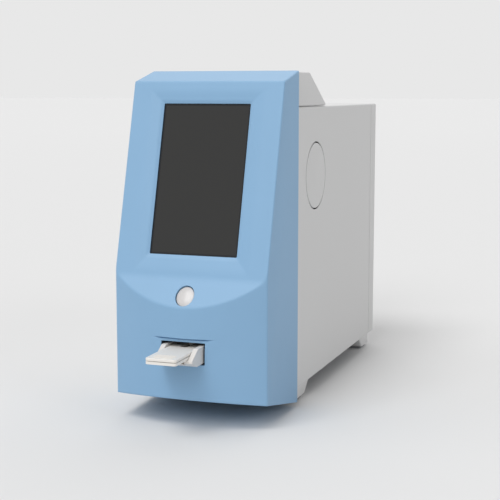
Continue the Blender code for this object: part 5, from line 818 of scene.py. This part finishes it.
def bezel_section(x, inside=False):
    """Depth and height of each row at one distance from the middle."""
    wall = SHELL_WALL if inside else 0.0
    screen_wall = SCREEN_WALL if inside else 0.0
    shrink = INSIDE_RADIUS_SHARE if inside else 1.0
    face = bow_place(x, wall)
    under = Vector((-math.cos(UNDER_TILT), math.sin(UNDER_TILT)))
    upright = Vector((0, 1))
    screen = Vector((math.sin(SCREEN_TILT), math.cos(SCREEN_TILT)))
    top = Vector((math.cos(TOP_TILT), math.sin(TOP_TILT)))

    sole = BEZEL_LOW.z + wall / math.cos(UNDER_TILT)
    lip = Vector((face, sole + (BEZEL_REAR - face) * math.tan(UNDER_TILT)))
    lip_arc = round_corner(lip, under, upright, LIP_RADIUS * shrink, LIP_STEPS)
    low = lip_arc[0]
    rows = [Vector((y, sole + (BEZEL_REAR - y) * math.tan(UNDER_TILT)))
            for y in [BEZEL_REAR] + spread(BEZEL_REAR, low.x, UNDER_ROWS)[:-1]]
    rows += lip_arc

    bend = arch_height(face - wall)
    stops = FRONT_STOPS + [
        (LEDGE_HEIGHT - LEDGE_STEP, 1), (LEDGE_HEIGHT + LEDGE_STEP, 1),
        (bend - ARCH_ZONE, ARCH_ROWS[0]), (bend + ARCH_ZONE, ARCH_ROWS[1]), DISH_STOP,
    ]
    for height in climb(rows[-1].y, stops):
        lean = lean_place(height, wall, screen_wall)
        front = face if inside else scoop_place(x, height)
        rows.append(Vector((soft_most(lean, front, ARCH_BLEND), height)))

    brow_drop = screen_wall / math.cos(SCREEN_TILT)
    top_drop = wall / math.cos(TOP_TILT)
    slopes = 1 / math.tan(SCREEN_TILT) - math.tan(TOP_TILT)
    shift = (brow_drop / math.tan(SCREEN_TILT) - top_drop) / slopes
    brow = Vector((BROW_PLACE + shift, BROW_HEIGHT + shift * math.tan(TOP_TILT) - top_drop))
    brow_arc = round_corner(brow, screen, top, BROW_RADIUS * shrink, BROW_STEPS)
    for height in climb(rows[-1].y, SCREEN_STOPS + [(brow_arc[0].y, BROW_ROWS)])[:-1]:
        rows.append(Vector((lean_place(height, wall, screen_wall), height)))
    rows += brow_arc
    for y in spread(brow_arc[-1].x, BEZEL_REAR, TOP_ROWS):
        rows.append(Vector((y, brow_arc[-1].y + (y - brow_arc[-1].x) * math.tan(TOP_TILT))))
    return rows


print("Rows in a section:", len(bezel_section(0.0)), "inside:", len(bezel_section(0.0, True)))

# %% [markdown]
# The skin is woven from sections side by side. At each flank the last sections turn round a
# small radius, each sunk a little along its own normal. Both flanks are flat, so one face closes
# each. The inside is the same weave one wall deeper, joined to the outside along the rear edge.

# %% Columns of points
CORNER_RADIUS = 1.1 * MM
CORNER_STEPS = 7
UNDER_CORNER_SHARE = 0.35
DISH_ZONE = 3.0 * MM
SIDE_STEPS = 12
# Distances from the middle: past the slot's side, short of the screen's side, past the dish
COLUMN_STOPS = [(16.6 * MM, 12), (31.9 * MM, 10), (43.1 * MM, 18)]


def inward_normals(rows):
    """The direction into the wall at each row."""
    normals = []
    for k in range(len(rows)):
        along = rows[min(k + 1, len(rows) - 1)] - rows[max(k - 1, 0)]
        normals.append(Vector((along.y, -along.x)).normalized())
    return normals


def bezel_columns():
    """Distances from the middle on the right side, and how far round the corner each one is."""
    flat = HALF_BEZEL - CORNER_RADIUS
    steps = climb(0, COLUMN_STOPS + [(flat, SIDE_STEPS)])
    columns = [(0.0, 0.0)] + [(x, 0.0) for x in steps]
    for k in range(CORNER_STEPS):
        turn = math.pi / 2 * (k + 1) / CORNER_STEPS
        sink = CORNER_RADIUS * (1 - math.cos(turn))
        columns.append((flat + CORNER_RADIUS * math.sin(turn), sink))
    return columns


def outer_column(x, sink):
    """One column of the outside, sunk round the corner and into the dish."""
    rows = bezel_section(x)
    points = []
    last = len(rows) - 1
    for k, (row, normal) in enumerate(zip(rows, inward_normals(rows))):
        past_lip = min(max((k - UNDER_ROWS) / LIP_STEPS, 0.0), 1.0)
        depth = sink * (UNDER_CORNER_SHARE + (1 - UNDER_CORNER_SHARE) * past_lip)
        if row.y > KNEE_HEIGHT - DISH_ZONE:
            depth += dish_depth(x, up_screen(row.x, row.y))
        moved = row + normal * depth
        if k in (0, last):
            moved.x = BEZEL_REAR
        points.append(Vector((x, moved.x, moved.y)))
    return points


def inner_column(x):
    """The column behind it on the inside, one wall nearer to the middle."""
    side = x * (1 - SHELL_WALL / HALF_BEZEL)
    return [Vector((side, row.x, row.y)) for row in bezel_section(side, inside=True)]


print("Columns from the middle to one side:", len(bezel_columns()))

# %% Weave the shell
def weave(bm, right_columns, outward):
    """Adds both halves of a skin and its two flat flanks, and returns its rear edge in order."""
    left = [[Vector((-p.x, p.y, p.z)) for p in column] for column in reversed(right_columns[1:])]
    grid = [[bm.verts.new(p) for p in column] for column in left + right_columns]
    for here, there in zip(grid, grid[1:]):
        for k in range(len(here) - 1):
            face = [here[k], there[k], there[k + 1], here[k + 1]]
            bm.faces.new(face if outward else face[::-1])
    bm.faces.new(grid[-1][::-1] if outward else grid[-1])
    bm.faces.new(grid[0] if outward else grid[0][::-1])
    return [column[0] for column in grid] + [column[-1] for column in reversed(grid)]


def weave_bezel():
    bm = bmesh.new()
    columns = bezel_columns()
    outer = weave(bm, [outer_column(x, sink) for x, sink in columns], True)
    inner = weave(bm, [inner_column(x) for x, sink in columns], False)
    for k in range(len(outer)):
        n = (k + 1) % len(outer)
        bm.faces.new((outer[n], outer[k], inner[k], inner[n]))
    mesh = bpy.data.meshes.new("front_bezel_shell")
    bm.to_mesh(mesh)
    bm.free()
    return mesh


bezel_mesh = weave_bezel()
print("Bezel shell faces:", len(bezel_mesh.polygons))

# %% [markdown]
# ## Small mouldings from stacked rings
# The openings, the button, the paper cover and the feet are all outlines that change with depth.
# They could be primitives with bevels. One function that stacks rings of points makes them all,
# with every step and radius where the drawing has it. A piece made so replaces its CAD solid.

# %% Rings and outlines
def stacked(rings, place, closed=False):
    """A solid from rings of points at their depths. Closed joins the last ring to the first."""
    bm = bmesh.new()
    loops = [[bm.verts.new((x, depth, z)) for x, z in outline] for outline, depth in rings]
    for here, there in zip(loops, loops[1:] + (loops[:1] if closed else [])):
        for k in range(len(here)):
            n = (k + 1) % len(here)
            bm.faces.new((here[n], here[k], there[k], there[n]))
    if not closed:
        bm.faces.new(loops[0])
        bm.faces.new(loops[-1][::-1])
    bm.transform(place)
    bmesh.ops.recalc_face_normals(bm, faces=bm.faces[:])
    mesh = bpy.data.meshes.new("stacked")
    bm.to_mesh(mesh)
    bm.free()
    return mesh


def rounded_edge(radius, steps):
    """How far in and how deep each ring lies that rounds an edge, from the face outwards."""
    turns = [math.pi / 2 * k / steps for k in range(steps + 1)]
    return [(radius * (1 - math.sin(turn)), radius * (1 - math.cos(turn))) for turn in turns]


def oval(half_width, half_height, steps=64):
    turns = [2 * math.pi * k / steps for k in range(steps)]
    return [(half_width * math.cos(t), half_height * math.sin(t)) for t in turns]


def round_rectangle(half_width, half_height, radius, steps=4):
    points = []
    for quarter, (side, up) in enumerate(((1, 1), (-1, 1), (-1, -1), (1, -1))):
        for k in range(steps + 1):
            turn = math.pi / 2 * (quarter + k / steps)
            points.append((
                side * (half_width - radius) + radius * math.cos(turn),
                up * (half_height - radius) + radius * math.sin(turn),
            ))
    return points


print("Points in an oval:", len(oval(1, 1)), "in a rectangle:", len(round_rectangle(2, 1, 0.5)))

# %% [markdown]
# A piece is fitted in four steps: it rides on its body, its openings are cut, it takes its
# finish, and it replaces the CAD solid. The cut is an exact boolean, because its edges cross many
# small faces, and the result is kept as the piece's own mesh.

# %% Fit a piece
def applied(piece):
    """Bakes the modifiers of a piece into its mesh."""
    graph = bpy.context.evaluated_depsgraph_get()
    mesh = bpy.data.meshes.new_from_object(piece.evaluated_get(graph))
    piece.modifiers.clear()
    piece.data = mesh


def cut_away(piece, cutter_mesh):
    cutter = bpy.data.objects.new("cutter", cutter_mesh)
    bpy.context.scene.collection.objects.link(cutter)
    knife = piece.modifiers.new("cut", "BOOLEAN")
    knife.object = cutter
    knife.operation = "DIFFERENCE"
    knife.solver = "EXACT"
    applied(piece)
    bpy.data.objects.remove(cutter)


def fit_piece(node, mesh, body, slot, finish=None, cutters=(), ending="_moulding"):
    """Makes the piece that stands in for a CAD solid, named after it with an ending."""
    piece = bpy.data.objects.new(node + ending, mesh)
    bpy.context.scene.collection.objects.link(piece)
    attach(piece, body)
    for cutter_mesh in cutters:
        cut_away(piece, cutter_mesh)
    piece.data.materials.clear()
    piece.data.materials.append(finishes[finish or slot])
    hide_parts(node)
    shade_smooth(piece)
    return piece


print("Bezel's box in mm:", [round(side / MM, 1) for side in BEZEL_HIGH - BEZEL_LOW])

# %% [markdown]
# Four openings go through the bezel's shell: the screen's, the wider rebate behind it that takes
# the glass, the cassette slot and the button's hole.

# %% Cut the bezel's openings
GLASS_MARGIN = 3.3 * MM
OPENING_CORNER = 0.8 * MM
REBATE_CORNER = 1.1 * MM
REBATE_DEPTH = 2.9 * MM
SLOT_HALF = 16.5 * MM
SLOT_BOTTOM = 46.6 * MM
SLOT_TOP = 62.0 * MM
SLOT_CORNER = 0.4 * MM
BUTTON_BELOW_KNEE = 13.5 * MM
BUTTON_HALF = Vector((6.5 * MM, 7.8 * MM))
BUTTON_GAP = 0.4 * MM
REACH = 12.0 * MM


def slope_frame(tilt, up):
    """A frame on a leaning face, some way up from the knee: X across, Y inward, Z up the slope."""
    lean = Vector((0, math.sin(tilt), math.cos(tilt)))
    middle = Vector((0, KNEE_PLACE, KNEE_HEIGHT)) + lean * up
    return Matrix.Translation(middle) @ Matrix.Rotation(-tilt, 4, "X")


def cutter(outline, place, start=-REACH, end=REACH):
    """An outline drawn out from a start to an end depth, to cut with."""
    return stacked([(outline, start), (outline, end)], place)


screen_frame = slope_frame(SCREEN_TILT, OPENING_MIDDLE)
chin_frame = slope_frame(CHIN_TILT, -BUTTON_BELOW_KNEE)
slot_frame = Matrix.Translation((0, BEZEL_FRONT, (SLOT_TOP + SLOT_BOTTOM) / 2))
opening = round_rectangle(*OPENING_HALF, OPENING_CORNER)
rebate = round_rectangle(*[side + GLASS_MARGIN for side in OPENING_HALF], REBATE_CORNER)
slot = round_rectangle(SLOT_HALF, (SLOT_TOP - SLOT_BOTTOM) / 2, SLOT_CORNER)
hole = oval(BUTTON_HALF.x + BUTTON_GAP, BUTTON_HALF.y + BUTTON_GAP)
bezel = fit_piece("front_bezel", bezel_mesh, "chassis", "blue_shell", ending="_shell", cutters=(
    cutter(opening, screen_frame), cutter(rebate, screen_frame, start=REBATE_DEPTH),
    cutter(slot, slot_frame), cutter(hole, chin_frame),
))
print("Bezel faces after the cuts:", len(bezel.data.polygons))

# %% [markdown]
# ## The power button and its guide
# The real button is one small moulding: an upright oval cap, let half a millimetre into the chin,
# with a slight crown that the finger finds, a rounded rim and a stem that reaches the switch. A
# dark guide snaps in behind the wall and keeps the cap straight. Both could be made as turned
# parts and squashed. Stacking rings gives the crown, the rim and the stem in one list.

# %% Button and guide
BUTTON_SUNK = 0.5 * MM
BUTTON_CROWN = 0.6 * MM
BUTTON_RIM = 0.6 * MM
RIM_STEPS = 5
CROWN_SHARES = (0.12, 0.3, 0.5, 0.7, 0.85)
BUTTON_TAIL = 5.4 * MM
STEM_RADIUS = 1.8 * MM
STEM_TIP = 11.0 * MM
GUIDE_FRONT = SHELL_WALL + 0.3 * MM
GUIDE_FLANGE_BACK = GUIDE_FRONT + 1.5 * MM
GUIDE_REAR = 6.0 * MM
GUIDE_WALL = 0.6 * MM
GUIDE_FLANGE = 1.9 * MM


def button_ring(inset, depth):
    """An oval like the button's outline, smaller by the inset."""
    return oval(BUTTON_HALF.x - inset, BUTTON_HALF.y - inset), depth


def button_rings():
    """The crown's rings from the middle out, then the rim, the skirt and the stem."""
    rings = []
    flat = BUTTON_HALF.x - BUTTON_RIM
    for share in CROWN_SHARES:
        sag = BUTTON_CROWN * share ** 2
        rings.append(button_ring(BUTTON_HALF.x - flat * share, BUTTON_SUNK + sag))
    rim_top = BUTTON_SUNK + BUTTON_CROWN
    for inset, drop in rounded_edge(BUTTON_RIM, RIM_STEPS):
        rings.append(button_ring(inset, rim_top + drop))
    rings.append(button_ring(0.0, BUTTON_TAIL))
    return rings + [(oval(STEM_RADIUS, STEM_RADIUS), depth) for depth in (BUTTON_TAIL, STEM_TIP)]


def guide_rings():
    """The guide's profile, taken once round: its flange, its barrel and the bore for the button."""
    profile = (
        (GUIDE_WALL, GUIDE_FRONT), (GUIDE_FLANGE, GUIDE_FRONT),
        (GUIDE_FLANGE, GUIDE_FLANGE_BACK), (GUIDE_WALL, GUIDE_FLANGE_BACK),
        (GUIDE_WALL, GUIDE_REAR), (0.0, GUIDE_REAR), (0.0, GUIDE_FRONT),
    )
    return [button_ring(-BUTTON_GAP - out, depth) for out, depth in profile]


guide_mesh = stacked(guide_rings(), chin_frame, closed=True)
fit_piece("power_button", stacked(button_rings(), chin_frame), "button", "button_white")
fit_piece("button_collar", guide_mesh, "chassis", "black_plastic")
print("Button in mm:", round(2 * BUTTON_HALF.x / MM, 1), "x", round(2 * BUTTON_HALF.y / MM, 1))

# %% [markdown]
# ## The paper cover on the side
# The cover is a moulded disc with a plug behind it. A shadow gap of about 1 mm runs round it,
# so that it never rubs on the paint, and this gap is the thin dark ring that shows. At the bottom
# a finger notch slopes in. The disc is stacked from circles, and a wedge cuts the notch.

# %% Paper cover
COVER_LOW, COVER_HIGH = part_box("paper_cover")
COVER_FACE = 24.9 * MM
COVER_EDGE = 0.3 * MM
COVER_EDGE_STEPS = 4
COVER_THICKNESS = 2.0 * MM
PLUG_RADIUS = 25.4 * MM
PLUG_WALL = 1.6 * MM
PLUG_DEPTH = 6.0 * MM
SOCKET_OUTER = 8.5 * MM
SOCKET_BORE = 5.3 * MM
NOTCH_HALF = 6.0 * MM
NOTCH_RISE = 3.2 * MM
NOTCH_DEPTH = 1.2 * MM
NOTCH_CORNER = 1.5 * MM
COVER_POINTS = 96


def cover_rings():
    """The disc's rounded edge, then the plug and the spindle's socket behind it."""
    soft = rounded_edge(COVER_EDGE, COVER_EDGE_STEPS)
    edge = [(COVER_FACE - inset, drop) for inset, drop in soft]
    profile = edge + [
        (COVER_FACE, COVER_THICKNESS), (PLUG_RADIUS, COVER_THICKNESS), (PLUG_RADIUS, PLUG_DEPTH),
        (PLUG_RADIUS - PLUG_WALL, PLUG_DEPTH), (PLUG_RADIUS - PLUG_WALL, COVER_THICKNESS),
        (SOCKET_OUTER, COVER_THICKNESS), (SOCKET_OUTER, PLUG_DEPTH),
        (SOCKET_BORE, PLUG_DEPTH), (SOCKET_BORE, COVER_THICKNESS),
    ]
    return [(oval(radius, radius, COVER_POINTS), depth) for radius, depth in profile]


def notch_wedge(cover_frame):
    """A cutter that slopes in towards the disc's lowest point."""
    slope = Matrix.Rotation(-math.atan2(NOTCH_DEPTH, NOTCH_RISE), 4, "X")
    foot = Matrix.Translation((0, 0, NOTCH_RISE - COVER_FACE))
    outline = round_rectangle(NOTCH_HALF, 2 * NOTCH_RISE, NOTCH_CORNER)
    outline = [(x, z - 2 * NOTCH_RISE) for x, z in outline]
    return cutter(outline, cover_frame @ (foot @ slope), end=0)


cover_middle = (COVER_LOW + COVER_HIGH) / 2
cover_place = Matrix.Translation((COVER_HIGH.x, cover_middle.y, cover_middle.z))
cover_frame = cover_place @ Matrix.Rotation(math.pi / 2, 4, "Z")
fit_piece(
    "paper_cover", stacked(cover_rings(), cover_frame), "side_cover", "grey_moulding",
    cutters=(notch_wedge(cover_frame),),
)
print("Cover disc in mm:", round(2 * COVER_FACE / MM, 1))

# %% [markdown]
# ## The feet
# Each foot is a small moulding, screwed up from below. Its top steps in, so a dark line shows
# between the foot and the painted case, its inner end runs out in a long slope that braces it,
# and a rubber pad sits in its sole. A foot could be a box with bevels. Stacked rings give the
# step, the slope and the round corners at once.

# %% Feet
FOOT_CORNER = 1.5 * MM
FOOT_SLOPE = 13.5 * MM
FOOT_LENGTH = 22.0 * MM
FOOT_NECK = 2.8 * MM
FOOT_NECK_INSET = 1.6 * MM
FOOT_SOLE_EDGE = 0.5 * MM
FOOT_TOP_EDGE = 0.2 * MM
PAD_RECESS = 1.0 * MM
PAD_MARGIN = 2.0 * MM
PAD_GAP = 0.3 * MM
FEET = ("front_left", "front_right", "rear_left", "rear_right")


def foot_outline(side, outer, inward, reach, inset):
    """Plan of a foot as (x, -y), shrunk by an inset on every side."""
    low, high = sorted((outer, outer + inward * reach))
    x_low, x_high = sorted(side)
    half = Vector(((x_high - x_low) / 2 - inset, (high - low) / 2 - inset))
    plan = round_rectangle(half.x, half.y, FOOT_CORNER)
    return [(x + (x_low + x_high) / 2, z - (low + high) / 2) for x, z in plan]


def foot_rings(low, high):
    """The pad's recess in the sole, the soft edge, the sloping sides and the neck, from below."""
    inward = 1 if low.y < 0 else -1
    outer = low.y if inward > 0 else high.y
    side = (low.x, high.x)
    tall = high.z - low.z
    pad = PAD_MARGIN - PAD_GAP

    def ring(height, inset):
        reach = FOOT_LENGTH + FOOT_SLOPE * (height - low.z) / tall
        return foot_outline(side, outer, inward, reach, inset), height

    sole = foot_outline(side, outer, inward, FOOT_LENGTH, pad)
    neck = high.z - FOOT_NECK
    return [
        (sole, low.z + PAD_RECESS), (sole, low.z), ring(low.z, FOOT_SOLE_EDGE),
        ring(low.z + FOOT_SOLE_EDGE / 3, FOOT_SOLE_EDGE / 3), ring(low.z + FOOT_SOLE_EDGE, 0.0),
        ring(neck - FOOT_TOP_EDGE, 0.0), ring(neck, FOOT_TOP_EDGE), ring(neck, FOOT_NECK_INSET),
        ring(high.z, FOOT_NECK_INSET),
    ]


stand_up = Matrix.Rotation(math.pi / 2, 4, "X")
for place in FEET:
    foot_low, foot_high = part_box("foot_" + place)
    fit_piece(
        "foot_" + place, stacked(foot_rings(foot_low, foot_high), stand_up),
        "chassis", "grey_moulding", "foot_moulding",
    )
print("Feet:", len(FEET))
